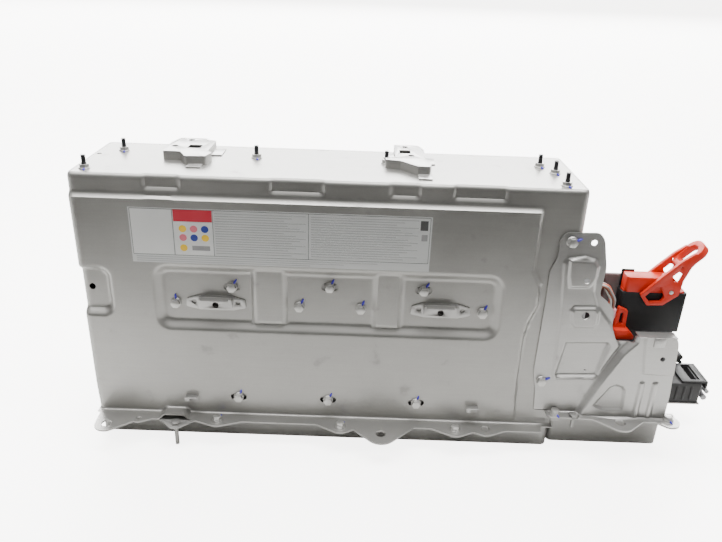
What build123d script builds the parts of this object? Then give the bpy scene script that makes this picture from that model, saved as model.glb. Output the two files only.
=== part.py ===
from build123d import *
import math
import os

# High-voltage battery pack of a hybrid car. Millimetres, +Z up, +X to the service plug end, -Y the front.
# The origin is the middle of the main case's underside.

# ---------------------------------------------------------------- driving dimensions
CASE_LENGTH = 600.0
CASE_DEPTH = 150.0
RIM_Z = 33.0                  # the joint between tray and cover
SHEET = 1.2                   # cover and tray steel
BRACKET_SHEET = 1.6
FIT = 0.3                     # clearance between neighbouring pieces
CORNER_R = 8.0
RIM_EDGE = 15.0               # flange width between its ears
M6_R = 3.0
M6_HEX = 10.0                 # across flats
M6_FLANGE_R = 7.0
STUD_R = 3.0
STUD_POINT_R = 2.6            # guide point of every stud
STUD_GRIP = 4.0               # threaded stretch beyond the nut or sheet
NUT_H = 5.5
FEW_SIDES = 14                # sides of a small fastener's round stretches
NUT_BORE_R = 3.15             # across corners, clear of the thread

FRONT = -CASE_DEPTH / 2
REAR = CASE_DEPTH / 2
HALF = CASE_LENGTH / 2
LONG = CASE_LENGTH / 600.0    # places along the front keep their share of the length


def along(*places):
    """Places along the case; the first number of each is X."""
    return tuple((x * LONG, *others) for x, *others in places)


# cells
CELL_PITCH = 15.5
CELL_COUNT = int((CASE_LENGTH - 57) / CELL_PITCH)
CELL_T, CELL_D, CELL_H = 13.3, 63.0, 137.0
STACK_LOW_Z = 45.0
STACK_GAP = 10.0
DUCT_H = 16.0
TOP_ROOM = 12.0               # air between the gas duct and the cover
STACK_X = CELL_COUNT * CELL_PITCH / 2
STACK_HIGH_Z = STACK_LOW_Z + CELL_H + STACK_GAP
CASE_TOP = STACK_HIGH_Z + CELL_H + DUCT_H + TOP_ROOM
RAIL_H = 34.0
RAIL_T = 2.0

# front face pressings
SHOULDER_Z = CASE_TOP - 26.0
SHOULDER_STEP = 5.0
FOLD_Z = 81.0
FOLD_LEAN = 3.0
BORDER_X = HALF - 52.0
POCKET_SLOPE = 40.0
RECESS_DEPTH = 8.0
RECESS_LEFT, RECESS_RIGHT = -210.0 * LONG, 214.0 * LONG
RECESS_LOW, RECESS_HIGH = 160.0, 248.0
BANDS = ((-92.0 * LONG, -49.0 * LONG), (57.0 * LONG, 93.0 * LONG))
BAND_POCKET_DEPTH = 3.0
BAND_POCKETS = along((-191.5, 45.0), (-35.8, 65.0), (88.3, 38.0), (174.8, 64.0))
NOTCH_LOW, NOTCH_HIGH, NOTCH_REACH = 176.0, 242.0, 40.0
NOTCH_HOLE = (-HALF + 12.4, 212.0)
NOTCH_HOLE_R = 4.0

# right-hand end
JUNCTION_RIM_Z = 55.0
JUNCTION_X0, JUNCTION_X1 = HALF - 11.0, HALF + 157.0
BRACKET_BOSS = 9.0
BRACKET_POCKET = 5.0
PLUG_Y0, PLUG_Y1 = FRONT + 24.0, FRONT + 45.0
PLUG_X0, PLUG_X1 = HALF + 66.0, HALF + 148.0
SOCKET_LOW, SOCKET_TOP = 168.0, 222.0
PLUG_TOP = 242.0
PIVOT_X, PIVOT_Z = HALF + 124.0, 226.0
LEVER_T = 4.5
LEVER_GAP = 0.5
WALL = 2.5

BORDER_Y = FRONT + SHOULDER_STEP
RECESS_Y = FRONT + RECESS_DEPTH
BRACKET_Y = BORDER_Y - FIT - BRACKET_SHEET       # front face of the side bracket

# fastener places: x, z on the front; x, y on the rim and the top
SLOT_LENGTH, SLOT_WIDTH = 21.0, 10.0
SLOT_BOLTS_HIGH = along((-116.3, 218.0), (3.4, 222.0), (118.3, 222.0))
SLOT_BOLTS_LOW = along((-113.0, 62.0), (3.6, 62.0), (118.7, 62.0))
PLAIN_BOLTS = along((-186.4, 194.0), (-33.8, 194.0), (42.0, 194.0), (192.6, 194.0))
BRACKET_BOLTS = ((HALF - 13.4, 294.5), (HALF - 22.7, 101.6))
TOP_STUDS = along((-283.6, -52.1), (-264.5, 30.6), (-94.6, 17.5), (67.6, 13.4), (260.5, 22.5), (273.4, -5.0),
                  (274.8, -55.3))
TOP_STUD_RISE = 16.0
TOP_HOLE = (-HALF + 10.0, 12.7)
TOP_HOLE_R = 3.0
RIGHT_HOLE_R = 6.0
STUD_EAR = (-192.0 * LONG, FRONT - 22.0)
ARCH_RISE = 7.0
ARCH_HALF = 20.0
JUNCTION_EAR = (HALF + 80.8, FRONT - 19.3)
JUNCTION_BOLTS = ((HALF, FRONT - 4.0), (HALF + 146.0, FRONT - 9.0))
JUNCTION_STUD = (HALF + 24.0, FRONT - 7.0)
JUNCTION_WALL_X = HALF + 150.0
JUNCTION_HALF_D = REAR - 13.0
FACE_BRACKET_XS = (-136.5 * LONG, 140.5 * LONG)
RELIEF_Z = (116.0, 180.0)
FACE_BRACKET_Z = 197.0
CLIP_TABS = along((-174.0, 60.0), (192.0, 58.0))
BRACKET_HOLES = ((HALF + 12.9, 294.2, 3.7), (HALF + 9.7, 247.7, 3.6), (HALF + 16.5, 200.6, 5.0),
                 (HALF + 32.0, 117.5, 1.5))
FOOT_HOLE = (HALF + 120.5, 144.0)
FOOT_HOLE_R = 3.3
FOOT_RIB_XS = (HALF + 103.0, HALF + 120.0)
LIP_DEPTH = 14.0
HAT_RISE = 11.0
TRAY_RIB_XS = (-200.0 * LONG, -100.0 * LONG, 100.0 * LONG, 200.0 * LONG)
TRAY_RIB_H = 6.0
WINDOW_HALF = 40.0
WINDOW_Z = (90.0, 170.0)
TERMINAL_Y = 22.0
END_PLATE_T = 8.0
RAIL_LOW_Z, RAIL_MID_Z = 62.0, 208.0
BASE_TOP = 60.0
RELAY_Y = 34.0
RELAY_XS = (HALF + 36.0, HALF + 80.0, HALF + 124.0)
SOCKET_FLOOR = 180.0
PIN_R = 2.5
PIN_GAP = 0.05
LEVER_TILT = math.radians(46)
GUARD = (HALF + 38.0, HALF + 62.0, -20.0, 26.0)
GUARD_LOW, GUARD_TOP = 178.0, 222.0
UNIT_X = (HALF + 166.0, HALF + 219.0)
HARNESS_R = 5.0
# from the case's right-hand end and the plug's front face
HARNESS_PATH = ((14, 15, 160), (20, 9, 206), (33, 4, 231), (46, 1, 229), (55.5, -1.5, 213), (55.5, -1.5, 200.3))


# ---------------------------------------------------------------- helpers
def box(x0, x1, y0, y1, z0, z1):
    return Pos((x0 + x1) / 2, (y0 + y1) / 2, (z0 + z1) / 2) * Box(abs(x1 - x0), abs(y1 - y0), abs(z1 - z0))


def upright(y):
    """The plane facing the front at this y: local x is X, local y is Z."""
    return Plane(origin=(0, y, 0), x_dir=(1, 0, 0), z_dir=(0, -1, 0))


def panel(region, y, thickness):
    """A flat piece of this outline, from y towards the front."""
    return extrude(upright(y) * region, amount=thickness)


def rounded(width, height, radius):
    return RectangleRounded(width, height, radius)


def outline(points, radius=0.0):
    """A closed polygon; every corner takes the same round."""
    shape = make_face(Polyline(*points, close=True))
    if radius:
        shape = fillet(shape.vertices(), radius)
    return shape


def rod_y(x, z, y0, y1, radius):
    return Pos(x, (y0 + y1) / 2, z) * Rot(90, 0, 0) * Cylinder(radius, abs(y1 - y0))


def rod_z(x, y, z0, z1, radius):
    return Pos(x, y, (z0 + z1) / 2) * Cylinder(radius, abs(z1 - z0))


def pressing(region, y_face, depth, sheet):
    """A sheet pressed back from y_face by depth over this region: what it cuts and the metal behind."""
    run = depth * math.tan(math.radians(POCKET_SLOPE))
    face = upright(y_face) * region
    floor = upright(y_face + depth) * offset(region, -run)
    cut = loft([face, floor])
    back_face = upright(y_face) * offset(region, sheet)
    back_floor = upright(y_face + depth + sheet) * offset(region, sheet - run)
    return cut, loft([back_face, back_floor])


def press(body, region, y_face, depth, sheet, within=None):
    cut, backing = pressing(region, y_face, depth, sheet)
    if within is not None:
        backing = backing & within
    return body + backing - cut


def prism(radius, sides, z0, z1):
    """An upright prism: hexagons, and the round stretches of small repeated fasteners with few faces."""
    return Pos(0, 0, z0) * extrude(RegularPolygon(radius, sides), amount=z1 - z0)


def flange_head(height):
    """The hexagon and flange of an M6 bolt or nut, seated at z = 0."""
    skirt = Pos(0, 0, 0) * extrude(RegularPolygon(M6_FLANGE_R, FEW_SIDES), amount=1.6, taper=30)
    return skirt + prism(M6_HEX / math.sqrt(3), 6, 1.5, height)


def flange_bolt(length):
    """M6 flange bolt along +Z, its flange seated at z = 0 and its shank below."""
    return flange_head(6.0) + prism(M6_R, FEW_SIDES, -length, 0.5)


def flange_nut():
    return flange_head(NUT_H) - prism(NUT_BORE_R, FEW_SIDES, -1, NUT_H + 1)


def at_end(*points):
    """Points whose X is measured from the case's right-hand end."""
    return [(HALF + x, *others) for x, *others in points]


def facing_front(x, z, y):
    return Pos(x, y, z) * Rot(90, 0, 0)


def both_sides(shape):
    """The same shape at the front and, mirrored, at the rear."""
    return [shape, mirror(shape, about=Plane.XZ)]


def save(name, shape):
    """One STEP file per node; a list is a group of separate solids."""
    if isinstance(shape, list):
        shape = Compound(children=[solid for piece in shape for solid in piece.solids()])
    shape.label = name
    export_step(shape, os.path.join("parts", name + ".step"))


# ---------------------------------------------------------------- case form
def case_form(inset):
    """The cover's outer form, or its inner form when inset by the sheet."""
    front, rear = FRONT + inset, REAR - inset
    top = CASE_TOP - inset
    shoulder = SHOULDER_Z - inset * 0.4
    radius = CORNER_R - inset
    side = outline([
        (front + FOLD_LEAN, RIM_Z), (front, FOLD_Z), (front, shoulder),
        (front + SHOULDER_STEP, shoulder + 2.0), (front + SHOULDER_STEP, top), (rear, top), (rear, RIM_Z)])
    side = fillet(side.vertices().filter_by(lambda v: v.Y > top - 1), radius * 0.6)
    across = Plane(origin=(-HALF + inset, 0, 0), x_dir=(0, 1, 0), z_dir=(1, 0, 0))
    form = extrude(across * side, amount=CASE_LENGTH - 2 * inset)
    plan = Pos(0, 0, RIM_Z) * rounded(CASE_LENGTH - 2 * inset, CASE_DEPTH - 2 * inset, radius)
    form = form & extrude(plan, amount=top - RIM_Z)
    width = HALF - inset
    front_view = outline([(-width, RIM_Z), (width, RIM_Z), (width, top), (-width, top)])
    front_view = fillet(front_view.vertices().filter_by(lambda v: v.Y > top - 1), radius * 0.6)
    return form & panel(front_view, REAR, CASE_DEPTH)


def border_region():
    """Right-hand border, set back to seat the side bracket; its edge bulges round the bracket."""
    top = SHOULDER_Z - 9
    return outline([
        (BORDER_X, RIM_Z + 4), (BORDER_X - 4, 100), (BORDER_X - 4, 165), (BORDER_X, 188), (BORDER_X + 8, 209),
        (BORDER_X + 6, 238), (BORDER_X - 3, 257), (BORDER_X - 2, top), (HALF + 20, top), (HALF + 20, RIM_Z + 4)], 6.0)


def recess_region(left, right):
    return Pos((left + right) / 2, (RECESS_LOW + RECESS_HIGH) / 2) * rounded(
        right - left, RECESS_HIGH - RECESS_LOW, 16)


def recess_regions():
    """Three pockets, parted by two full-height bands."""
    first, second = BANDS
    return (recess_region(RECESS_LEFT, first[0]), recess_region(first[1], second[0]),
            recess_region(second[1], RECESS_RIGHT))


def relief_region():
    """Dished area of the border, clear of the side bracket's large pocket."""
    return Pos(HALF, (RELIEF_Z[0] + RELIEF_Z[1]) / 2) * rounded(40, RELIEF_Z[1] - RELIEF_Z[0], 6)


def face_y(z):
    """Where the leaning lower band lies at this height."""
    return FRONT + FOLD_LEAN * max(0.0, FOLD_Z - z) / (FOLD_Z - RIM_Z)


def notch_region():
    middle = (NOTCH_LOW + NOTCH_HIGH) / 2
    height = NOTCH_HIGH - NOTCH_LOW
    return Pos(-HALF, middle) * rounded(2 * NOTCH_REACH, height, 15)


def band_pocket(x, width):
    return Pos(x, (SHOULDER_Z + CASE_TOP) / 2 + 5) * rounded(width, 20, 4)


# ---------------------------------------------------------------- flange
LEFT_EAR = (-279.6 * LONG, FRONT - 28.0)
MIDDLE_EAR = (73.4 * LONG, FRONT - 30.0)
RIGHT_EAR = (210.0 * LONG, FRONT - 12.0)
SMALL_HOLE = (-242.0 * LONG, FRONT - 15.0)
RIM_BOLTS = along((-140.0, FRONT - 13.0), (20.8, FRONT - 18.0), (170.6, FRONT - 17.0))
ARCH_X = -196.0 * LONG
EAR_HOLE_R = 6.5
SMALL_HOLE_R = 3.3


def ear(centre, radius, base, shift=0.0):
    """A flange ear: a round end with tangent flanks that widen into the rim."""
    x, y = centre
    end = Pos(x, y) * Circle(radius)
    foot = Pos(x + shift, FRONT - RIM_EDGE + 2) * Rectangle(base, 1.0)
    return make_hull(end.edges() + foot.edges())


def rim_front(extra_ears=()):
    """Wavy front half of the rim, seen from above."""
    edge = FRONT - RIM_EDGE
    strip = outline([(-HALF + 4, FRONT + 4), (-HALF + 4, FRONT - 6), (-HALF + 16, edge), (HALF - 17, edge),
                     (HALF - 17, FRONT + 4)])
    shape = strip + ear(LEFT_EAR, 15, 54, 16) + ear(MIDDLE_EAR, 20, 90) + ear(RIGHT_EAR, 14, 60)
    shape = shape + ear(SMALL_HOLE, 8, 40)
    for centre in RIM_BOLTS:
        shape = shape + ear(centre, 13, 70)
    for centre in extra_ears:
        shape = shape + ear(centre, 11, 50)
    return shape


def rim_holes():
    """Holes of the rim: the mounting ears, the locating hole and the seam bolts."""
    holes = [Pos(*LEFT_EAR) * Circle(EAR_HOLE_R), Pos(*MIDDLE_EAR) * Circle(EAR_HOLE_R),
             Pos(*RIGHT_EAR) * Circle(RIGHT_HOLE_R),
             Pos(*SMALL_HOLE) * Circle(SMALL_HOLE_R)]
    return holes + [Pos(*centre) * Circle(M6_R + FIT) for centre in RIM_BOLTS]


def rim(z, thickness, extra_ears=()):
    """Front and rear halves of the rim as one flat sheet with its holes."""
    front = rim_front(extra_ears)
    for hole in rim_holes():
        front = front - hole
    return both_sides(extrude(Pos(0, 0, z) * front, amount=thickness))


# ---------------------------------------------------------------- cover and tray
def arch(z):
    """Raised stretch of the cover's rim over the tray's weld nut."""
    def curve(drop):
        return outline([(ARCH_X - ARCH_HALF + drop, z), (ARCH_X - ARCH_HALF + 7 + drop, z + ARCH_RISE - drop),
                        (ARCH_X + ARCH_HALF - 7 - drop, z + ARCH_RISE - drop), (ARCH_X + ARCH_HALF - drop, z)])
    depth = RIM_EDGE + 2
    return panel(curve(0), FRONT + 2, depth + 2) - panel(curve(SHEET), FRONT - 1, depth + 2)


def bolt_slot(x, z, y):
    return panel(Pos(x, z) * SlotOverall(SLOT_LENGTH, SLOT_WIDTH), y + 3, 10)


def upper_cover():
    outer = case_form(0)
    shell = outer - case_form(SHEET)
    shell = press(shell, border_region(), FRONT, SHOULDER_STEP, SHEET, outer)
    shell = press(shell, relief_region(), BORDER_Y, BRACKET_POCKET + SHEET, SHEET, outer)
    for region in recess_regions():
        shell = press(shell, region, FRONT, RECESS_DEPTH, SHEET)
    shell = press(shell, notch_region(), FRONT, RECESS_DEPTH, SHEET, outer)
    for x, width in BAND_POCKETS:
        shell = press(shell, band_pocket(x, width), BORDER_Y, BAND_POCKET_DEPTH, SHEET)
    for sheet in rim(RIM_Z, SHEET):
        shell = shell + sheet
    reach = ARCH_HALF - 0.8 * SHEET
    gap = box(ARCH_X - reach, ARCH_X + reach, FRONT - RIM_EDGE - 15, FRONT, RIM_Z - 1, RIM_Z + SHEET)
    for opening in both_sides(gap):
        shell = shell - opening
    for raised in both_sides(arch(RIM_Z)):
        shell = shell + (raised - case_form(SHEET))
    for x, z in SLOT_BOLTS_HIGH:
        shell = shell - bolt_slot(x, z, RECESS_Y)
    for x, z in SLOT_BOLTS_LOW:
        shell = shell - bolt_slot(x, z, FRONT)
    for x, z in PLAIN_BOLTS:
        shell = shell - rod_y(x, z, RECESS_Y - 3, RECESS_Y + 3, M6_R + FIT)
    shell = shell - rod_y(*NOTCH_HOLE, FRONT, FRONT + 2 * RECESS_DEPTH, NOTCH_HOLE_R)
    for x, z in BRACKET_BOLTS:
        shell = shell - rod_y(x, z, FRONT, FRONT + 10, M6_R + FIT)
    for x, y in TOP_STUDS:
        shell = shell - rod_z(x, y, CASE_TOP - 5, CASE_TOP + 1, STUD_R)
    shell = shell - rod_z(*TOP_HOLE, CASE_TOP - 5, CASE_TOP + 1, TOP_HOLE_R)
    return shell - box(HALF - 5, HALF + 5, -WINDOW_HALF, WINDOW_HALF, *WINDOW_Z)


def pan(x0, x1, half_depth, top, sheet):
    """An open pressed pan with rounded upright corners, standing on z = 0."""
    def plan(inset):
        shape = RectangleRounded(x1 - x0 - 2 * inset, 2 * half_depth - 2 * inset, CORNER_R - inset)
        return Pos((x0 + x1) / 2, 0, inset) * shape
    return extrude(plan(0), amount=top) - extrude(plan(sheet), amount=top)


def lower_tray():
    tray = pan(-HALF + 2, HALF - 2, REAR - FOLD_LEAN, RIM_Z, SHEET)
    for sheet in rim(RIM_Z - SHEET, SHEET, [STUD_EAR]):
        tray = tray + sheet
    for x in TRAY_RIB_XS:
        tray = tray + box(x - 12, x + 12, -55, 55, 0, TRAY_RIB_H)
    tray = tray - box(-HALF + 4, HALF - 4, -REAR + 6, REAR - 6, RIM_Z - 2, RIM_Z + 1)
    for x in TRAY_RIB_XS:
        tray = tray - box(x - 12 + SHEET, x + 12 - SHEET, -55 + SHEET, 55 - SHEET, -1, TRAY_RIB_H - SHEET)
    for hole in both_sides(rod_z(*STUD_EAR, RIM_Z - 5, RIM_Z + 5, STUD_R)):
        tray = tray - hole
    return tray


# ---------------------------------------------------------------- junction tray and side bracket
def junction_rim():
    """Front rim of the junction tray: bolt ends and one mounting ear, seen from above."""
    back = BRACKET_Y + BRACKET_SHEET
    edge = FRONT - 12
    x0, x1 = JUNCTION_X0, JUNCTION_X1
    strip = outline([(x0, back), (x0, edge + 4), (x0 + 4, edge), (x1 - 10, edge - 4), (x1, edge + 8), (x1, back)])
    x, y = JUNCTION_EAR
    lobe = make_hull((Pos(x, y) * Circle(17)).edges() + (Pos(x, edge + 2) * Rectangle(74, 1)).edges())
    x, y = JUNCTION_BOLTS[1]
    end = make_hull((Pos(x, y - 4) * Circle(13)).edges() + (Pos(x - 6, edge + 2) * Rectangle(34, 1)).edges())
    shape = strip + lobe + end - Pos(*JUNCTION_EAR) * Circle(EAR_HOLE_R)
    for centre in JUNCTION_BOLTS:
        shape = shape - Pos(*centre) * Circle(M6_R + FIT)
    return shape


def junction_tray():
    top = JUNCTION_RIM_Z
    tray = pan(HALF + FIT, JUNCTION_WALL_X, JUNCTION_HALF_D, top, SHEET)
    flange = extrude(Pos(0, 0, top - SHEET) * junction_rim(), amount=SHEET)
    web = box(HALF + 12, JUNCTION_WALL_X - 10, BRACKET_Y + BRACKET_SHEET - 0.5, -JUNCTION_HALF_D + 0.5, top - SHEET, top)
    return tray + flange + web - rod_z(*JUNCTION_STUD, top - 5, top + 5, STUD_R)


def bracket_outline():
    """The side bracket's outline: a tall leg over the cover's border and a wide foot over the junction tray."""
    low = JUNCTION_RIM_Z
    return outline(at_end(
        (-26, low), (-28, 88), (-35, 114), (-33, 219), (-34, 256), (-27, 274), (-28, 297), (-22, 306), (18, 307),
        (25, 298), (33, 262), (31, 226), (41, 219), (52, 207), (54, 184), (62, 164), (84, 164), (84, 176),
        (132, 177), (136, 168), (142, 92), (142, low)), 2.5)


def boss_outline():
    """The part of the foot that stands proud: bounded by the slanting step on its left."""
    low = JUNCTION_RIM_Z
    return outline(at_end((30, low + 1), (84, 168), (90, 174), (131, 174), (134, 166), (140, 92), (140, low + 1)), 2.5)


def side_bracket():
    sheet, face = BRACKET_SHEET, BRACKET_Y
    plate = panel(bracket_outline(), face + sheet, sheet)
    proud = boss_outline()
    hill = panel(proud, face + sheet / 2, BRACKET_BOSS + sheet / 2)
    hollow = panel(offset(proud, -sheet), face + sheet + 1, BRACKET_BOSS + 1)
    plate = plate + hill - hollow
    # pressed pockets of the leg
    for region in (Pos(HALF + 16, 250) * rounded(26, 40, 9), Pos(HALF + 16, 201) * rounded(29, 27, 9)):
        plate = press(plate, region, face, 3.0, sheet)
    trapezoid = outline(at_end((-11, 172), (45, 169), (22, 133), (16, 124), (-13, 124)), 5.0)
    plate = press(plate, trapezoid, face, BRACKET_POCKET, sheet)
    # rounded triangle of the foot
    front = face - BRACKET_BOSS
    triangle = outline(at_end((47, 80), (66, 106), (84, 106), (86, 80)), 7.0)
    plate = press(plate, triangle, front, 4.0, sheet)
    lip = box(HALF + 86, HALF + 132, front, front + LIP_DEPTH, 174, 174 + sheet)
    tab = box(HALF + 104, HALF + 120, front - 1.5, front + 0.1, 158, 175)
    plate = plate + lip + tab
    for x in FOOT_RIB_XS:
        rib = panel(Pos(x, 82) * rounded(7, 50, 3), front + 0.4, 2.6)
        plate = plate + rib
    low = JUNCTION_RIM_Z
    foot = extrude(Pos(0, 0, low) * junction_rim(), amount=sheet)
    plate = plate + (foot - rod_z(*JUNCTION_STUD, low - 1, low + 5, 7.0))
    for x, z, radius in BRACKET_HOLES:
        plate = plate - rod_y(x, z, front - 5, face + 15, radius)
    for x, z in BRACKET_BOLTS:
        plate = plate - rod_y(x, z, face - 5, face + 10, M6_R + FIT)
    return plate - rod_y(*FOOT_HOLE, front - 5, face + 5, FOOT_HOLE_R)


# ---------------------------------------------------------------- small brackets
def cup(points, z, height, sheet, radius=3.0):
    """An upturned pressed cup: closed above, open below."""
    shape = outline(points, radius)
    block = extrude(Pos(0, 0, z) * shape, amount=height)
    return block - extrude(Pos(0, 0, z - 1) * offset(shape, -sheet), amount=height + 1 - sheet)


def foot_plate(x0, x1, y0, y1, sheet):
    return box(x0, x1, y0, y1, CASE_TOP, CASE_TOP + sheet)


def top_bracket_left():
    sheet = BRACKET_SHEET
    hat = cup([(-206, -4), (-184, -4), (-174, -24), (-150, -22), (-146, -4), (-152, 4), (-152, 54), (-164, 58),
               (-166, 64), (-200, 64), (-206, 40)], CASE_TOP, HAT_RISE, sheet)
    feet = [foot_plate(-170, -153, -37, -22, sheet), foot_plate(-153, -139, 20, 50, sheet),
            foot_plate(-196, -176, 63, 71, sheet), foot_plate(-214, -205, 30, 48, sheet)]
    for foot in feet:
        hat = hat + foot
    top = CASE_TOP + HAT_RISE
    hat = hat - rod_z(-197, 22, top - 5, top + 5, 4) - rod_z(-184, 54, top - 5, top + 5, 4)
    return hat - box(-180, -164, 14, 30, top - 5, top + 5)


def top_bracket_right():
    sheet = BRACKET_SHEET
    hat = cup([(78, 3), (66, 2), (66, -8), (84, -12), (104, -34), (118, -34), (121, -18), (114, 0), (116, 44),
               (110, 64), (104, 66), (78, 66)], CASE_TOP, HAT_RISE, sheet)
    feet = [foot_plate(104, 120, -53, -33, sheet), foot_plate(114, 128, 12, 40, sheet),
            foot_plate(84, 102, 65, 71, sheet), foot_plate(64, 79, 36, 56, sheet)]
    for foot in feet:
        hat = hat + foot
    top = CASE_TOP + HAT_RISE
    hat = hat - rod_z(92, 56, top - 5, top + 5, 4) - rod_z(98, 14, top - 5, top + 5, 4)
    return hat - box(84, 98, 24, 40, top - 5, top + 5)


def face_bracket(x):
    """A small bracket in the recess, its middle raised and its upper edge bent out."""
    sheet = BRACKET_SHEET
    z = FACE_BRACKET_Z
    plate = outline([(x - 37, z - 7), (x - 36, z + 4), (x - 22, z + 9), (x + 20, z + 9), (x + 36, z + 4),
                     (x + 37, z - 7), (x + 22, z - 11), (x - 20, z - 11)], 2.0)
    piece = panel(plate, RECESS_Y, sheet)
    middle = Pos(x, z - 1) * rounded(42, 15, 4)
    piece = piece + panel(middle, RECESS_Y, 6) - panel(offset(middle, -sheet), RECESS_Y + 1, 7 - sheet)
    piece = piece + box(x - 18, x + 16, RECESS_Y - 12, RECESS_Y - 5, z + 5, z + 5 + sheet)
    for dx, dz, radius in ((-27, 0, 3), (0, -2, 4), (27, 0, 3)):
        piece = piece - rod_y(x + dx, z + dz, RECESS_Y - 15, RECESS_Y + 1, radius)
    return piece


def clip_tab(x, z):
    """A small wiring clip tab, welded to the lower band and bent out."""
    back = face_y(z + 3)
    base = box(x - 8, x + 8, back - SHEET, back, z - 8, z + 3)
    shelf = box(x - 8, x + 8, back - 9, back, z + 3 - SHEET, z + 3)
    return base + shelf + box(x - 8, x - 2, back - 9, back - 9 + SHEET, z - 3, z + 3)


# ---------------------------------------------------------------- fasteners
def front_bolts(places, y, length):
    return [facing_front(x, z, y) * flange_bolt(length) for x, z in places]


def seam_bolts():
    bolts = []
    for x, y in RIM_BOLTS:
        bolts += both_sides(Pos(x, y, RIM_Z + SHEET) * flange_bolt(10))
    return bolts + [Pos(x, y, JUNCTION_RIM_Z + BRACKET_SHEET) * flange_bolt(10) for x, y in JUNCTION_BOLTS]


def weld_nut(x, y, top):
    """A square weld nut under the rim."""
    return box(x - 6, x + 6, y - 6, y + 6, top - 5, top) - Pos(x, y) * prism(NUT_BORE_R, FEW_SIDES, top - 6, top + 1)


def seam_nuts():
    nuts = []
    for x, y in RIM_BOLTS:
        nuts += both_sides(weld_nut(x, y, RIM_Z - SHEET))
    return nuts + [weld_nut(x, y, JUNCTION_RIM_Z - SHEET) for x, y in JUNCTION_BOLTS]


def stud_with_head(x, y, top, low):
    """A stud that hangs from a rim, its hexagon head above the sheet and its guide point below."""
    head = Pos(x, y, top) * extrude(RegularPolygon(6, 6), amount=3.5)
    grip_low = top - SHEET - STUD_GRIP
    grip = Pos(x, y) * prism(STUD_R - 0.05, FEW_SIDES, grip_low, top + 1)
    return head + grip + rod_z(x, y, low, grip_low + 1, STUD_POINT_R)


def tray_studs():
    studs = both_sides(stud_with_head(*STUD_EAR, RIM_Z, 1.0))
    return studs + [stud_with_head(*JUNCTION_STUD, JUNCTION_RIM_Z, JUNCTION_RIM_Z - 16)]


def top_stud(x, y):
    """A stud pressed in from inside the cover, with a guide point above its nut."""
    under = CASE_TOP - SHEET
    grip_top = CASE_TOP + NUT_H + 1.5
    head = Pos(x, y, under - 3) * extrude(RegularPolygon(5.5, 6), amount=3)
    grip = Pos(x, y) * prism(STUD_R - 0.05, FEW_SIDES, under - 0.5, grip_top)
    return head + grip + rod_z(x, y, grip_top - 1, CASE_TOP + TOP_STUD_RISE, STUD_POINT_R)


def top_studs():
    return [top_stud(x, y) for x, y in TOP_STUDS]


def top_nuts():
    return [Pos(x, y, CASE_TOP) * flange_nut() for x, y in TOP_STUDS]


# ---------------------------------------------------------------- cells and what holds them
def cell(x, z):
    body = box(x - CELL_T / 2, x + CELL_T / 2, -CELL_D / 2, CELL_D / 2, z, z + CELL_H)
    posts = [box(x - 4, x + 4, y - 4, y + 4, z + CELL_H - 0.1, z + CELL_H + 3) for y in (-TERMINAL_Y, TERMINAL_Y)]
    return body + posts[0] + posts[1]


def cell_xs():
    return [-STACK_X + CELL_PITCH * (i + 0.5) for i in range(CELL_COUNT)]


def cells(z):
    return [cell(x, z) for x in cell_xs()]


def cell_spacers(z):
    half = (CELL_PITCH - CELL_T) / 2
    return [box(x + CELL_PITCH / 2 - half, x + CELL_PITCH / 2 + half, -CELL_D / 2, CELL_D / 2, z + 4, z + CELL_H - 4)
            for x in cell_xs()[:-1]]


def busbars(z):
    """Copper straps that join each cell to the next, on alternate sides."""
    top = z + CELL_H + 3
    straps = []
    for i, x in enumerate(cell_xs()[:-1]):
        y = TERMINAL_Y if i % 2 else -TERMINAL_Y
        straps.append(box(x - 3.5, x + CELL_PITCH + 3.5, y - 4, y + 4, top, top + 1.5))
    return straps


def end_plates():
    x = STACK_X
    plates = []
    for side in (-1, 1):
        plate = box(side * x, side * (x + END_PLATE_T), -CELL_D / 2, CELL_D / 2, STACK_LOW_Z, STACK_HIGH_Z + CELL_H)
        for z in [low + share * CELL_H for low in (STACK_LOW_Z, STACK_HIGH_Z) for share in (0.25, 0.75)]:
            plate = plate - box(side * (x + 2), side * (x + END_PLATE_T + 1), -22, 22, z - 22, z + 22)
        plates.append(plate)
    return plates


def rail(z_mid, y_web):
    """A channel along the stack, its web against the case and its flanges on the end plates."""
    z0, z1 = z_mid - RAIL_H / 2, z_mid + RAIL_H / 2
    reach = -CELL_D / 2 - FIT
    block = box(-STACK_X - END_PLATE_T, STACK_X + END_PLATE_T, y_web, reach, z0, z1)
    return block - box(-HALF, HALF, y_web + RAIL_T, reach + 1, z0 + RAIL_T, z1 - RAIL_T)


def bolt_hole(x, z):
    return facing_front(x, z, FRONT) * prism(NUT_BORE_R, FEW_SIDES, -20, 0)


def tie_rails():
    low = rail(RAIL_LOW_Z, BORDER_Y + SHEET + FIT)
    middle = rail(RAIL_MID_Z, RECESS_Y + SHEET + FIT)
    for x, z in SLOT_BOLTS_LOW:
        low = low - bolt_hole(x, z)
    for x, z in SLOT_BOLTS_HIGH + PLAIN_BOLTS:
        middle = middle - bolt_hole(x, z)
    rear = [mirror(rail(z, BORDER_Y + SHEET + FIT), about=Plane.XZ) for z in (RAIL_LOW_Z, RAIL_MID_Z)]
    return [low, middle] + rear


def cell_bearers():
    low = [box(-STACK_X, STACK_X, y - 10, y + 10, TRAY_RIB_H, STACK_LOW_Z) -
           box(-HALF, HALF, y - 8, y + 8, 0, STACK_LOW_Z - 2) for y in (-18, 18)]
    high = [box(-STACK_X, STACK_X, y - 2, y + 2, STACK_LOW_Z + CELL_H, STACK_HIGH_Z) for y in (-29, 0, 29)]
    return low + high


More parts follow.
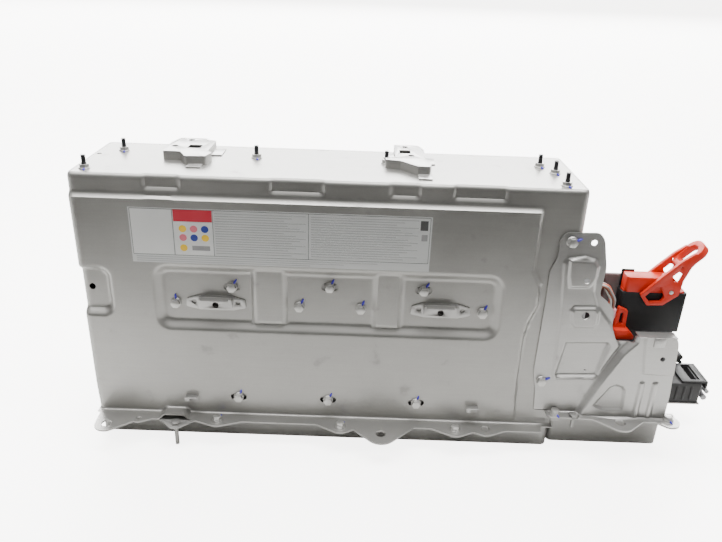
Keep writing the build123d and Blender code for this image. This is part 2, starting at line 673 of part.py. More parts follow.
def gas_duct():
    """The tube that leads vented gas away, on top of the upper stack."""
    z = STACK_HIGH_Z + CELL_H
    tube = box(-STACK_X, STACK_X, -9, 9, z, z + DUCT_H) - box(-HALF, STACK_X - 2, -7.5, 7.5, z + 1.5, z + DUCT_H - 1.5)
    return fillet(tube.edges().filter_by(Axis.X).group_by(Axis.Z)[-1], 4)


# ---------------------------------------------------------------- junction parts
def junction_base():
    z = JUNCTION_RIM_Z + FIT
    base = box(HALF + 3, JUNCTION_WALL_X - 1, -JUNCTION_HALF_D, JUNCTION_HALF_D, z, BASE_TOP)
    wall = box(HALF + 3, HALF + 6, -WINDOW_HALF - 8, WINDOW_HALF + 8, BASE_TOP - 0.5, WINDOW_Z[1] + 5)
    frame = box(HALF - 2, HALF + 3.5, -WINDOW_HALF + 1, WINDOW_HALF - 1, WINDOW_Z[0] + 1, WINDOW_Z[1] - 1)
    return base + wall + frame


def relay(x, y):
    can = box(x - 18, x + 18, y - 17, y + 17, BASE_TOP, BASE_TOP + 44)
    can = chamfer(can.edges().filter_by(Axis.Z), 4)
    cap = box(x - 15, x + 15, y - 14, y + 14, BASE_TOP + 43, BASE_TOP + 49)
    posts = [Pos(x + dx, y) * prism(4, 6, BASE_TOP + 40, BASE_TOP + 58) for dx in (-9, 9)]
    return can + cap + posts[0] + posts[1]


def relays():
    return [relay(x, RELAY_Y) for x in RELAY_XS]


def resistor():
    z = BASE_TOP
    block = box(HALF + 85, HALF + 115, -24, -4, z, z + 20)
    for i in range(5):
        block = block - box(HALF + 88 + 5 * i, HALF + 90.5 + 5 * i, -30, 0, z + 8, z + 25)
    return block


def current_sensor():
    z = BASE_TOP
    block = box(HALF + 9, HALF + 17, RELAY_Y - 16, RELAY_Y + 16, z, z + 66)
    return block - box(HALF + 5, HALF + 20, RELAY_Y - 8, RELAY_Y + 8, z + 54, z + 62)


def high_voltage_bars():
    z = BASE_TOP + 58
    first = box(HALF + 8, RELAY_XS[0] - 4, RELAY_Y - 6, RELAY_Y + 6, z, z + 2)
    second = box(RELAY_XS[0] + 4, RELAY_XS[1] - 4, RELAY_Y - 6, RELAY_Y + 6, z, z + 2)
    third = box(RELAY_XS[1] + 4, RELAY_XS[2] - 4, RELAY_Y - 6, RELAY_Y + 6, z, z + 2)
    return [first, second, third]


def socket_stand():
    """A plastic pillar that carries the service plug socket on the base."""
    x0, x1 = PLUG_X0 + 6, PLUG_X1 - 6
    block = box(x0, x1, PLUG_Y0 + 3, PLUG_Y1 - 2, BASE_TOP, SOCKET_LOW)
    for z in range(int(BASE_TOP) + 12, int(SOCKET_LOW) - 20, 26):
        block = block - box(x0 + 3, x1 - 3, PLUG_Y0, PLUG_Y1 - 5, z, z + 20)
    return block


def plug_socket():
    """The black socket: an open box whose upper part receives the service plug."""
    x0, x1, y0, y1 = PLUG_X0, PLUG_X1, PLUG_Y0, PLUG_Y1
    middle = Pos((x0 + x1) / 2, (y0 + y1) / 2, SOCKET_LOW)
    block = extrude(middle * rounded(x1 - x0, y1 - y0, 4), amount=SOCKET_TOP - SOCKET_LOW)
    hollow = extrude(Pos(0, 0, SOCKET_FLOOR - SOCKET_LOW) * middle * rounded(
        x1 - x0 - 2 * WALL, y1 - y0 - 2 * WALL, 3), amount=100)
    return block - hollow


def plug_body():
    """The orange service plug: a blade block in the socket under a wider head."""
    y0, y1 = PLUG_Y0 + WALL + FIT, PLUG_Y1 - WALL - FIT
    x0 = PLUG_X0 + WALL + FIT
    head = box(x0 + 1, PIVOT_X + 12, PLUG_Y0 + 0.5, PLUG_Y1 - 0.5, SOCKET_TOP + FIT, PLUG_TOP)
    head = chamfer(head.edges().filter_by(Axis.Y).group_by(Axis.X)[-1].sort_by(Axis.Z)[-1:], 9)
    head = fillet(head.edges().filter_by(Axis.Z).group_by(Axis.X)[0], 4)
    x1 = PLUG_X1 - WALL - FIT
    stem = extrude(Pos((x0 + x1) / 2, (y0 + y1) / 2, SOCKET_FLOOR + FIT) * rounded(x1 - x0, y1 - y0, 4),
                   amount=SOCKET_TOP + 1 - SOCKET_FLOOR - FIT)
    body = head + stem
    return body - rod_y(PIVOT_X, PIVOT_Z, -80, 0, PIN_R + PIN_GAP)


def lever_pin():
    return rod_y(PIVOT_X, PIVOT_Z, PLUG_Y0 - LEVER_GAP - LEVER_T - 1, PLUG_Y1 + LEVER_GAP + LEVER_T + 1, PIN_R)


def lever_arm():
    """One side of the lever: a cam loop round the pivot that narrows to the handle."""
    arm = outline(at_end((87, 221), (97.5, 207), (117, 208), (134, 222), (136, 242), (142, 260), (150, 272), (144, 279),
                   (130, 268), (109, 246)), 2.0)
    loop = outline(at_end((93, 219), (100, 212), (114, 213), (117, 219), (111, 233), (104, 232)), 1.5)
    window = outline(at_end((124, 240), (131, 240), (134, 250), (128, 254), (120, 246)), 1.5)
    return arm - loop - window - Pos(PIVOT_X, PIVOT_Z) * Circle(PIN_R + PIN_GAP) - Pos(HALF + 130, 259.5) * Rectangle(3, 3)


def plug_lever():
    """Two arms astride the plug, a cross web and the looped handle."""
    near = PLUG_Y0 - LEVER_GAP
    far = PLUG_Y1 + LEVER_GAP + LEVER_T
    lever = panel(lever_arm(), near, LEVER_T) + panel(lever_arm(), far, LEVER_T)
    width = far - near + LEVER_T
    tilt = Plane(origin=(PIVOT_X + 12, (near - LEVER_T + far) / 2, PIVOT_Z + 36), x_dir=(
        math.cos(LEVER_TILT), 0, math.sin(LEVER_TILT)), z_dir=(-math.sin(LEVER_TILT), 0, math.cos(LEVER_TILT)))
    ring = Pos(12, 0) * rounded(40, width, 14) - Pos(11, 0) * rounded(40 - 13, width - 12, 9)
    handle = extrude(tilt * ring, amount=LEVER_T, both=True)
    web = extrude(tilt * Pos(-4, 0) * Rectangle(9, width - LEVER_T), amount=1.5, both=True)
    half_space = box(PIVOT_X - 60, PIVOT_X + 80, near - LEVER_T, far, PIVOT_Z + 22, PIVOT_Z + 90)
    return lever + (handle & half_space) + web


def busbar_guard():
    """A translucent cover over the busbars beside the plug."""
    x0, x1, y0, y1 = GUARD
    block = extrude(Pos((x0 + x1) / 2, (y0 + y1) / 2, GUARD_LOW) * rounded(x1 - x0, y1 - y0, 3),
                    amount=GUARD_TOP - GUARD_LOW)
    return block - box(x0 + 1.5, x1 - 1.5, y0 + 1.5, y1 - 1.5, GUARD_LOW - 1, GUARD_TOP - 1.5)


def guard_stand():
    x0, x1, y0, y1 = GUARD
    return box(x0 + 3, x1 - 3, y0 + 10, y1 - 10, BASE_TOP, GUARD_TOP - 1.5 - FIT)


def interlock_connector():
    """The orange connector at the socket's front corner: an upright lug with a slot on a wider base."""
    y = PLUG_Y0 - FIT
    lug = panel(outline(at_end((64, 204), (76, 199), (77, 172), (61, 172)), 1.5), y, 5)
    lug = lug - panel(Pos(HALF + 69.5, 188) * SlotOverall(16, 4.5, rotation=90), y + 1, 7)
    base = panel(outline(at_end((60, 163), (61, 175), (79, 175), (86, 168), (86, 163)), 1.5), y, 14)
    return lug + base


def interlock_strip():
    y = PLUG_Y0 - FIT - 14
    return box(HALF + 66, HALF + 86, y - 4, y + 2, 159, 162.8)


def sense_connector():
    shell = extrude(Pos(HALF + 56, PLUG_Y0 - 2, 188) * rounded(11, 9, 2), amount=12)
    return shell + box(HALF + 51.5, HALF + 60.5, PLUG_Y0 - 5, PLUG_Y0 + 1, 176, 189)


def harness():
    """The wire bundle, tied down beside the plug, from the case window to the sense connector."""
    points = [(HALF + x, PLUG_Y0 + y, z) for x, y, z in HARNESS_PATH]
    path = Polyline(*points)
    section = Plane(origin=path @ 0, z_dir=path % 0) * RegularPolygon(HARNESS_R, 8)
    return sweep(section, path=path, transition=Transition.RIGHT)


# ---------------------------------------------------------------- control unit at the far end
def unit_sheet():
    """The grey sheet behind the unit: a strip from the junction tray's end wall, turned up to carry the clips."""
    x0 = JUNCTION_WALL_X + FIT
    base = box(x0, UNIT_X[1] + 1, -18, 60, 36, 36 + BRACKET_SHEET)
    wall = box(x0, x0 + BRACKET_SHEET, -18, 60, 10, 37)
    profile = outline(at_end((150.3, 37), (150.3, 108), (178, 108), (206, 76), (206, 37)), 3)
    upright_sheet = panel(profile, 48, BRACKET_SHEET)
    sheet = base + wall + upright_sheet
    for x, z, radius in at_end((176, 90, 4), (168, 58, 5), (188, 76, 2.5)):
        sheet = sheet - rod_y(x, z, 40, 55, radius)
    return sheet


def control_unit():
    body = box(*UNIT_X, -16, 36, 38, 68)
    body = fillet(body.edges().filter_by(Axis.Z), 3)
    sockets = box(UNIT_X[1] - 16, UNIT_X[1] - 3, -8, 30, 56, 69)
    ribs = [box(x, x + 3, -17.2, -15.9, 42, 64) for x in range(int(UNIT_X[0]) + 8, int(UNIT_X[1]) - 6, 10)]
    body = body - sockets
    for rib in ribs:
        body = body + rib
    return body


def clip_frame():
    """The black plastic frame that holds the wiring over the unit."""
    y = 48 - BRACKET_SHEET - FIT
    tower = panel(outline(at_end((174, 112), (186, 112), (192, 96), (192, 84), (174, 84)), 2), y, 8)
    tower = tower - panel(outline(at_end((178, 108), (183, 108), (187, 97), (187, 92), (178, 92)), 1), y + 1, 10)
    bar = panel(outline(at_end((174, 84), (200, 84), (212, 70), (212, 64), (206, 69.5), (174, 69.5)), 1), y, 8)
    return tower + bar + rod_y(HALF + 200, 86, y - 22, y, 4)


def unit_lid():
    """The black wiring tray on the unit's outer end."""
    x0, x1 = UNIT_X[1] - 16, UNIT_X[1] + 8
    tray = box(x0 - 12, x1, -14, 34, 68 + FIT, 71) - box(x0 + 2, x1 - 9, -8, 30, 60, 75)
    return tray + box(x1 - 3, x1, -14, 34, 60, 71)


def wire_clip():
    x = UNIT_X[1] + FIT
    post = box(x, x + 7, -6, 6, 42, 58)
    return post + rod_y(x + 9, 55, -14, 6, 3) + rod_y(x + 8, 44, -12, 4, 4)


NODES = {
    "upper_cover": upper_cover,
    "lower_tray": lower_tray,
    "junction_tray": junction_tray,
    "side_bracket": side_bracket,
    "top_bracket_left": top_bracket_left,
    "top_bracket_right": top_bracket_right,
    "face_bracket_left": lambda: face_bracket(FACE_BRACKET_XS[0]),
    "face_bracket_right": lambda: face_bracket(FACE_BRACKET_XS[1]),
    "clip_tabs": lambda: [clip_tab(x, z) for x, z in CLIP_TABS],
    "slot_bolts_high": lambda: front_bolts(SLOT_BOLTS_HIGH, RECESS_Y, 10),
    "slot_bolts_low": lambda: front_bolts(SLOT_BOLTS_LOW, face_y(RAIL_LOW_Z + M6_FLANGE_R), 10),
    "plain_bolts": lambda: front_bolts(PLAIN_BOLTS, RECESS_Y, 10),
    "bracket_bolts": lambda: front_bolts(BRACKET_BOLTS, BRACKET_Y, 8),
    "seam_bolts": seam_bolts,
    "seam_nuts": seam_nuts,
    "tray_studs": tray_studs,
    "top_studs": top_studs,
    "top_nuts": top_nuts,
    "cells_lower": lambda: cells(STACK_LOW_Z),
    "cells_upper": lambda: cells(STACK_HIGH_Z),
    "spacers_lower": lambda: cell_spacers(STACK_LOW_Z),
    "spacers_upper": lambda: cell_spacers(STACK_HIGH_Z),
    "busbars_lower": lambda: busbars(STACK_LOW_Z),
    "busbars_upper": lambda: busbars(STACK_HIGH_Z),
    "end_plates": end_plates,
    "tie_rails": tie_rails,
    "cell_bearers": cell_bearers,
    "gas_duct": gas_duct,
    "junction_base": junction_base,
    "relays": relays,
    "precharge_resistor": resistor,
    "current_sensor": current_sensor,
    "high_voltage_bars": high_voltage_bars,
    "socket_stand": socket_stand,
    "plug_socket": plug_socket,
    "plug_body": plug_body,
    "lever_pin": lever_pin,
    "plug_lever": plug_lever,
    "busbar_guard": busbar_guard,
    "guard_stand": guard_stand,
    "interlock_connector": interlock_connector,
    "interlock_strip": interlock_strip,
    "sense_connector": sense_connector,
    "harness": harness,
    "unit_sheet": unit_sheet,
    "control_unit": control_unit,
    "clip_frame": clip_frame,
    "unit_lid": unit_lid,
    "wire_clip": wire_clip,
}

os.makedirs("parts", exist_ok=True)
for node, make in NODES.items():
    save(node, make())
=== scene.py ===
import math

import bmesh
import bpy
import numpy as np
from mathutils import Matrix, Vector


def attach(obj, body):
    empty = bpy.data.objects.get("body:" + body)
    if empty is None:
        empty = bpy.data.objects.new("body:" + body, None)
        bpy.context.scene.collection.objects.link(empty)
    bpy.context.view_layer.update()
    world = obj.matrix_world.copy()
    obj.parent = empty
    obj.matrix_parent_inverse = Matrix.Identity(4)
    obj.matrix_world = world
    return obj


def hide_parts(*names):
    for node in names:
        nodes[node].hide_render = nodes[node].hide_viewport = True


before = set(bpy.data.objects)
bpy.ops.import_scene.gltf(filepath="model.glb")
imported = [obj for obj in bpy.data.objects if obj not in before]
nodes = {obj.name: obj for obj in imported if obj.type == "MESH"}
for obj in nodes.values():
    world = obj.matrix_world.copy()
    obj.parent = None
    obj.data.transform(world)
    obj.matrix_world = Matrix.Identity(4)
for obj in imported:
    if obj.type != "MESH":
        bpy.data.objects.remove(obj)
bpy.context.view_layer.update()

# ---------------------------------------------------------------- table, light and camera
# The pack stands on a white table under a broad soft light. A large bright card far behind it whitens
# the top. The table ends just in front, so the steel mirrors bright table low down and dim room higher up.

TABLE_REACH, TABLE_FRONT = 40.0, -0.48
TABLE_GLOW = 5.0


def add_object(name, mesh):
    obj = bpy.data.objects.new(name, mesh)
    bpy.context.scene.collection.objects.link(obj)
    return obj


def white_table():
    """White sheet; the camera also sees a little glow in it, as an overexposed table has."""
    material = bpy.data.materials.new("white_table")
    material.use_nodes = True
    tree = material.node_tree
    path = tree.nodes.new("ShaderNodeLightPath")
    glow = tree.nodes.new("ShaderNodeMath")
    glow.operation = "MULTIPLY"
    glow.inputs[1].default_value = TABLE_GLOW
    tree.links.new(path.outputs["Is Camera Ray"], glow.inputs[0])
    shader = tree.nodes["Principled BSDF"]
    shader.inputs["Base Color"].default_value = (0.93, 0.925, 0.91, 1)
    shader.inputs["Roughness"].default_value = 0.6
    shader.inputs["Emission Color"].default_value = (1.0, 0.985, 0.965, 1)
    tree.links.new(glow.outputs[0], shader.inputs["Emission Strength"])
    return material


def table_top():
    mesh = bpy.data.meshes.new("table_top")
    corners = [(-TABLE_REACH, TABLE_FRONT, 0), (TABLE_REACH, TABLE_FRONT, 0),
               (TABLE_REACH, TABLE_REACH, 0), (-TABLE_REACH, TABLE_REACH, 0)]
    mesh.from_pydata(corners, [], [(0, 1, 2, 3)])
    obj = add_object("table_top", mesh)
    mesh.materials.append(white_table())
    return obj


table_top()


def soft_box(name, place, aim, width, depth, power):
    lamp = bpy.data.lights.new(name, "AREA")
    lamp.shape = "RECTANGLE"
    lamp.size = width
    lamp.size_y = depth
    lamp.energy = power
    obj = bpy.data.objects.new(name, lamp)
    obj.location = place
    obj.rotation_euler = (Vector(aim) - Vector(place)).to_track_quat("-Z", "Y").to_euler()
    bpy.context.scene.collection.objects.link(obj)


soft_box("overhead_light", (0.05, -0.12, 2.2), (0.05, -0.1, 0.1), 2.4, 0.8, 85)
soft_box("back_card", (0.0, 8.0, 4.6), (0.0, 0.0, 0.3), 12.0, 4.0, 3000)


def studio_air():
    """Bright above, dim at the sides and below; the camera sees plain white."""
    world = bpy.data.worlds.new("studio")
    world.use_nodes = True
    tree = world.node_tree
    tree.nodes.clear()
    out = tree.nodes.new("ShaderNodeOutputWorld")
    mix = tree.nodes.new("ShaderNodeMixShader")
    path = tree.nodes.new("ShaderNodeLightPath")
    glow = tree.nodes.new("ShaderNodeBackground")
    seen = tree.nodes.new("ShaderNodeBackground")
    glow.inputs["Color"].default_value = (1.0, 0.99, 0.97, 1)
    seen.inputs["Color"].default_value = (1, 1, 1, 1)
    seen.inputs["Strength"].default_value = 12.0
    place = tree.nodes.new("ShaderNodeTexCoord")
    rise = tree.nodes.new("ShaderNodeVectorMath")
    rise.operation = "DOT_PRODUCT"
    rise.inputs[1].default_value = (0.0, 0.25, 0.97)
    level = tree.nodes.new("ShaderNodeMapRange")
    level.interpolation_type = "SMOOTHSTEP"
    for key, number in (("From Min", 0.0), ("From Max", 0.85), ("To Min", 0.05), ("To Max", 1.5)):
        level.inputs[key].default_value = number
    tree.links.new(place.outputs["Generated"], rise.inputs[0])
    tree.links.new(rise.outputs["Value"], level.inputs["Value"])
    tree.links.new(level.outputs["Result"], glow.inputs["Strength"])
    tree.links.new(path.outputs["Is Camera Ray"], mix.inputs["Fac"])
    tree.links.new(glow.outputs["Background"], mix.inputs[1])
    tree.links.new(seen.outputs["Background"], mix.inputs[2])
    tree.links.new(mix.outputs["Shader"], out.inputs["Surface"])
    bpy.context.scene.world = world


studio_air()


def photographer():
    data = bpy.data.cameras.new("camera")
    data.sensor_width = 36.0
    data.lens = 33.9
    data.clip_end = 50
    obj = bpy.data.objects.new("camera", data)
    down, roll = math.radians(24.5), math.radians(2.04)
    turn = Matrix.Rotation(math.pi / 2 - down, 4, "X") @ Matrix.Rotation(roll, 4, "Z")
    obj.matrix_world = Matrix.Translation((0.0408, -0.8135, 0.5855)) @ turn
    bpy.context.scene.collection.objects.link(obj)
    bpy.context.scene.camera = obj


photographer()

# ---------------------------------------------------------------- upper cover
# The cover is one deep pressing of galvanised steel, 1.2 mm thick, open below, with a wavy bolting rim.
# Its front has a long recess crossed by two pads, a set-back border for the side bracket and a set-back
# band along the top. The pressing leaves soft slopes and rounded edges everywhere.

MM = 0.001
STEEL = 1.2
CASE_HALF, CASE_BACK, CASE_TOP = 300.0, 75.0, 357.0
RIM = 33.0
SHOULDER = 331.0
BAND_STEP = 5.0
FOLD, LEAN = 81.0, 3.0
EDGE_R, END_R, BEND_R = 4.8, 8.0, 3.0
RECESS_DEPTH, RECESS_SLOPE = 8.0, 11.0
PAD_RISE, PAD_SLOPE = 5.8, 6.0


def ease(t):
    t = np.clip(t, 0.0, 1.0)
    return t * t * (3 - 2 * t)


def round_rect(x, z, x0, x1, z0, z1, radius):
    """Signed distance to a rectangle with round corners, below zero inside."""
    dx = np.abs(x - (x0 + x1) / 2) - (x1 - x0) / 2 + radius
    dz = np.abs(z - (z0 + z1) / 2) - (z1 - z0) / 2 + radius
    outside = np.hypot(np.maximum(dx, 0), np.maximum(dz, 0))
    return outside + np.minimum(np.maximum(dx, dz), 0) - radius


def polygon_distance(x, z, corners):
    """Signed distance to a polygon, below zero inside."""
    best = np.full(x.shape, 1e9)
    inside = np.zeros(x.shape, bool)
    for (ax, az), (bx, bz) in zip(corners, corners[1:] + corners[:1]):
        ex, ez = bx - ax, bz - az
        t = np.clip(((x - ax) * ex + (z - az) * ez) / (ex * ex + ez * ez), 0, 1)
        best = np.minimum(best, np.hypot(x - ax - t * ex, z - az - t * ez))
        crosses = (az > z) != (bz > z)
        at = ax + (z - az) / (ez if ez else 1e-9) * ex
        inside ^= crosses & (x < at)
    return np.where(inside, -best, best)


BORDER = [(248, 37), (244, 100), (244, 165), (248, 188), (256, 209), (254, 238), (245, 257), (246, 340),
          (340, 340), (340, 37)]
RECESS = (-210, 214, 160, 248)
PADS = [(-93, -48), (56, 94)]
BAND_POCKETS = [(-191.5, 45), (-35.8, 65), (88.3, 38), (174.8, 64)]


def front_depth(x, z):
    """How far the front is set back from its foremost plane."""
    lean = LEAN * ease((FOLD + 2 - z) / 50) * np.clip((FOLD - z) / (FOLD - RIM), 0, 1) ** 0.5
    band = BAND_STEP * ease((z - SHOULDER + 1.5) / 4.0)
    border = BAND_STEP * ease(-polygon_distance(x, z, BORDER) / 4.5)
    depth = np.maximum(np.maximum(lean, band), border)
    well = np.clip(-round_rect(x, z, *RECESS, 18) / RECESS_SLOPE, 0, 1)
    recess = RECESS_DEPTH / 2 * (well + ease(well))
    for x0, x1 in PADS:
        pad = np.clip(-round_rect(x, z, x0, x1, 166, 300, 5) / PAD_SLOPE, 0, 1)
        recess = np.minimum(recess, RECESS_DEPTH - PAD_RISE * pad)
    depth = depth + recess
    depth = depth + RECESS_DEPTH * ease(-round_rect(x, z, -340, -260, 176, 242, 15) / 8.5)
    for middle, width in BAND_POCKETS:
        inside = -round_rect(x, z, middle - width / 2, middle + width / 2, 338, 380, 4)
        depth = depth + 3.0 * ease(inside / 4.5)
    return depth + 6.8 * ease(-round_rect(x, z, 284, 330, 102, 182, 6) / 5)


def lower_hull(points):
    """The lower edge of the hull round these points, from left to right."""
    chain = []
    for p in sorted(points):
        while len(chain) > 1 and ((chain[-1][0] - chain[-2][0]) * (p[1] - chain[-2][1]) -
                                  (chain[-1][1] - chain[-2][1]) * (p[0] - chain[-2][0])) <= 0:
            chain.pop()
        chain.append(p)
    return chain


# x, y, end radius, root width, shift and hole radius of each ear; a bolt fills the last three
EARS = [(-279.6, -103, 15, 54, 16, 6.5), (73.4, -105, 19.9, 90, 0, 6.5), (210, -87, 14, 60, 0, 6.0),
        (-242, -90, 8, 40, 0, 3.3),
        (-140, -88, 13, 70, 0, 0), (20.8, -93, 13, 70, 0, 0), (170.6, -92, 13, 70, 0, 0)]


def rim_edge(x):
    """The rim's outer edge in front, as distance in front of the origin."""
    strip = np.interp(x, [-300, -296, -295.9, -284, 283, 283.1, 300],
                      [-78.3, -78.3, -81, -90, -90, -78.3, -78.3])
    for ear_x, ear_y, radius, root, shift, _ in EARS:
        ring = [(ear_x + radius * math.cos(a), ear_y + radius * math.sin(a))
                for a in np.linspace(-math.pi, 0, 41)]
        ends = [(ear_x + shift - root / 2, -88.5), (ear_x + shift + root / 2, -88.5)]
        hull = lower_hull(ring + ends)
        low = np.interp(x, [p[0] for p in hull], [p[1] for p in hull], left=0, right=0)
        strip = np.minimum(strip, low)
    return strip


def arch(x):
    """The rim's rise over the weld nut of the tray."""
    return 7.0 * ease((20.5 - np.abs(x + 196)) / 8.0)


def end_inset(x, radius):
    over = np.clip(np.abs(x) - (CASE_HALF - radius), 0, radius)
    return radius - np.sqrt(radius * radius - over * over)


def cover_columns():
    """x stations: even along the case, closer together round the end corners."""
    turn = [CASE_HALF - END_R + END_R * math.sin(a) for a in np.linspace(0, math.pi / 2, 7)]
    middle = list(np.linspace(-CASE_HALF + END_R, CASE_HALF - END_R, 250))
    return np.array([-t for t in turn[:0:-1]] + middle + turn[1:])


def cover_skin():
    """The outer surface as rows of points, from the front rim over the top to the rear rim."""
    xs = cover_columns()
    inset = end_inset(xs, END_R)
    top = CASE_TOP - end_inset(xs, EDGE_R)
    rise = arch(xs)
    flange_z = RIM + STEEL + rise
    rows = []

    def row(y, z):
        rows.append(np.stack([xs, y + 0 * xs, z + 0 * xs], 1))

    def wall(side):
        low = flange_z + BEND_R
        high = top - EDGE_R
        rise_rows = np.linspace(0, 1, 126)
        for t in rise_rows:
            z = low + t * (high - low)
            depth = front_depth(xs, z) if side < 0 else 0 * xs
            yield side * (CASE_BACK - depth - inset), z

    front = list(wall(-1))
    rear = list(wall(1))
    foot_y = front[0][0]
    edge = np.minimum(rim_edge(xs), foot_y - BEND_R - 0.2)
    for t in np.linspace(0, 1, 7):
        row(edge + t * (foot_y - BEND_R - edge), flange_z)
    for a in np.linspace(0, math.pi / 2, 4)[1:-1]:
        row(foot_y - BEND_R + BEND_R * math.sin(a), flange_z + BEND_R - BEND_R * math.cos(a))
    for y, z in front:
        row(y, z)
    top_front, top_rear = front[-1][0], rear[-1][0]
    for a in np.linspace(0, math.pi / 2, 5)[1:-1]:
        row(top_front + EDGE_R - EDGE_R * math.cos(a), top - EDGE_R + EDGE_R * math.sin(a))
    for t in np.linspace(0, 1, 31):
        y = top_front + EDGE_R + t * (top_rear - top_front - 2 * EDGE_R)
        row(y, top)
    for a in np.linspace(math.pi / 2, 0, 5)[1:-1]:
        row(top_rear - EDGE_R + EDGE_R * math.cos(a), top - EDGE_R + EDGE_R * math.sin(a))
    for y, z in rear[::-3]:
        row(y, z)
    foot_y = rear[0][0]
    edge = np.maximum(-rim_edge(xs), foot_y + BEND_R + 0.2)
    for a in np.linspace(math.pi / 2, 0, 4)[1:-1]:
        row(foot_y + BEND_R - BEND_R * math.sin(a), flange_z + BEND_R - BEND_R * math.cos(a))
    for t in np.linspace(1, 0, 7):
        row(edge + t * (foot_y + BEND_R - edge), flange_z)
    return np.array(rows)


def grid_mesh(name, points, ends=False):
    """A sheet through rows of points, faces turned to the rows' left, its two ends closed if asked."""
    count, across = points.shape[:2]
    mesh = bpy.data.meshes.new(name)
    faces = [(i * across + j, i * across + j + 1, (i + 1) * across + j + 1, (i + 1) * across + j)
             for i in range(count - 1) for j in range(across - 1)]
    if ends:
        faces.append([i * across for i in range(count)])
        faces.append([i * across + across - 1 for i in range(count)][::-1])
    mesh.from_pydata((points.reshape(-1, 3) * MM).tolist(), [], faces)
    mesh.update()
    return mesh


def smooth_faces(mesh, degrees=32):
    mesh.polygons.foreach_set("use_smooth", [True] * len(mesh.polygons))
    mesh.set_sharp_from_angle(angle=math.radians(degrees))


def baked(obj):
    """The object's mesh with its modifiers applied, so that it stands as plain geometry."""
    done = bpy.data.meshes.new_from_object(obj.evaluated_get(bpy.context.evaluated_depsgraph_get()))
    obj.modifiers.clear()
    obj.data = done
    return obj


def solid_object(name, bm):
    """An object from this working mesh, its faces turned outward."""
    bmesh.ops.recalc_face_normals(bm, faces=bm.faces)
    mesh = bpy.data.meshes.new(name)
    bm.to_mesh(mesh)
    bm.free()
    return add_object(name, mesh)


def thicken(obj, thickness):
    """Turns a skin into sheet of this thickness in millimetres, on its inner side."""
    wall = obj.modifiers.new("sheet", "SOLIDIFY")
    wall.thickness = thickness * MM
    wall.offset = -1
    baked(obj)


def cut_with(obj, cutter, operation):
    step = obj.modifiers.new("cut", "BOOLEAN")
    step.object = cutter
    step.operation = operation
    step.solver = "EXACT"
    baked(obj)
    bpy.data.objects.remove(cutter)


def slot_cutter(bm, x, z, y, length, width, reach=12.0):
    """A slotted hole's cutter that runs along Y."""
    half = (length - width) / 2
    ring = []
    for side, start in ((1, -math.pi / 2), (-1, math.pi / 2)):
        for a in np.linspace(start, start + math.pi, 13):
            ring.append((x + side * half + width / 2 * math.cos(a), z + width / 2 * math.sin(a)))
    near = [bm.verts.new((px * MM, (y - reach) * MM, pz * MM)) for px, pz in ring]
    far = [bm.verts.new((px * MM, (y + reach) * MM, pz * MM)) for px, pz in ring]
    close_ring(bm, near, far)


def close_ring(bm, near, far):
    count = len(near)
    bm.faces.new(near)
    bm.faces.new(far[::-1])
    for i in range(count):
        j = (i + 1) % count
        bm.faces.new((near[j], near[i], far[i], far[j]))


def hole_cutter(bm, centre, radius, axis, reach=12.0):
    """A round hole's cutter along Y or Z."""
    near, far = [], []
    for i in range(28):
        a = 2 * math.pi * i / 28
        u, v = radius * math.cos(a), radius * math.sin(a)
        for ring, end in ((near, -reach), (far, reach)):
            offset = (u, end, v) if axis == "Y" else (u, -v, end)
            ring.append(bm.verts.new([(c + o) * MM for c, o in zip(centre, offset)]))
    close_ring(bm, near, far)


SLOTS_HIGH = [(-116.3, 218), (3.4, 222), (118.3, 222)]
SLOTS_LOW = [(-113.0, 62), (3.6, 62), (118.7, 62)]


def cover_cutters():
    bm = bmesh.new()
    for x, z in SLOTS_HIGH:
        slot_cutter(bm, x, z, -67, 21, 10)
    for x, z in SLOTS_LOW:
        slot_cutter(bm, x, z, -74, 21, 10)
    hole_cutter(bm, (-287.6, -67, 212), 4.0, "Y")
    for side in (-1, 1):
        for x, y, _, _, _, hole in EARS:
            if hole:
                hole_cutter(bm, (x, -side * y, RIM), hole, "Z", 3)
    hole_cutter(bm, (-290, 12.7, CASE_TOP), 3.0, "Z", 3)
    return solid_object("cover_holes", bm)


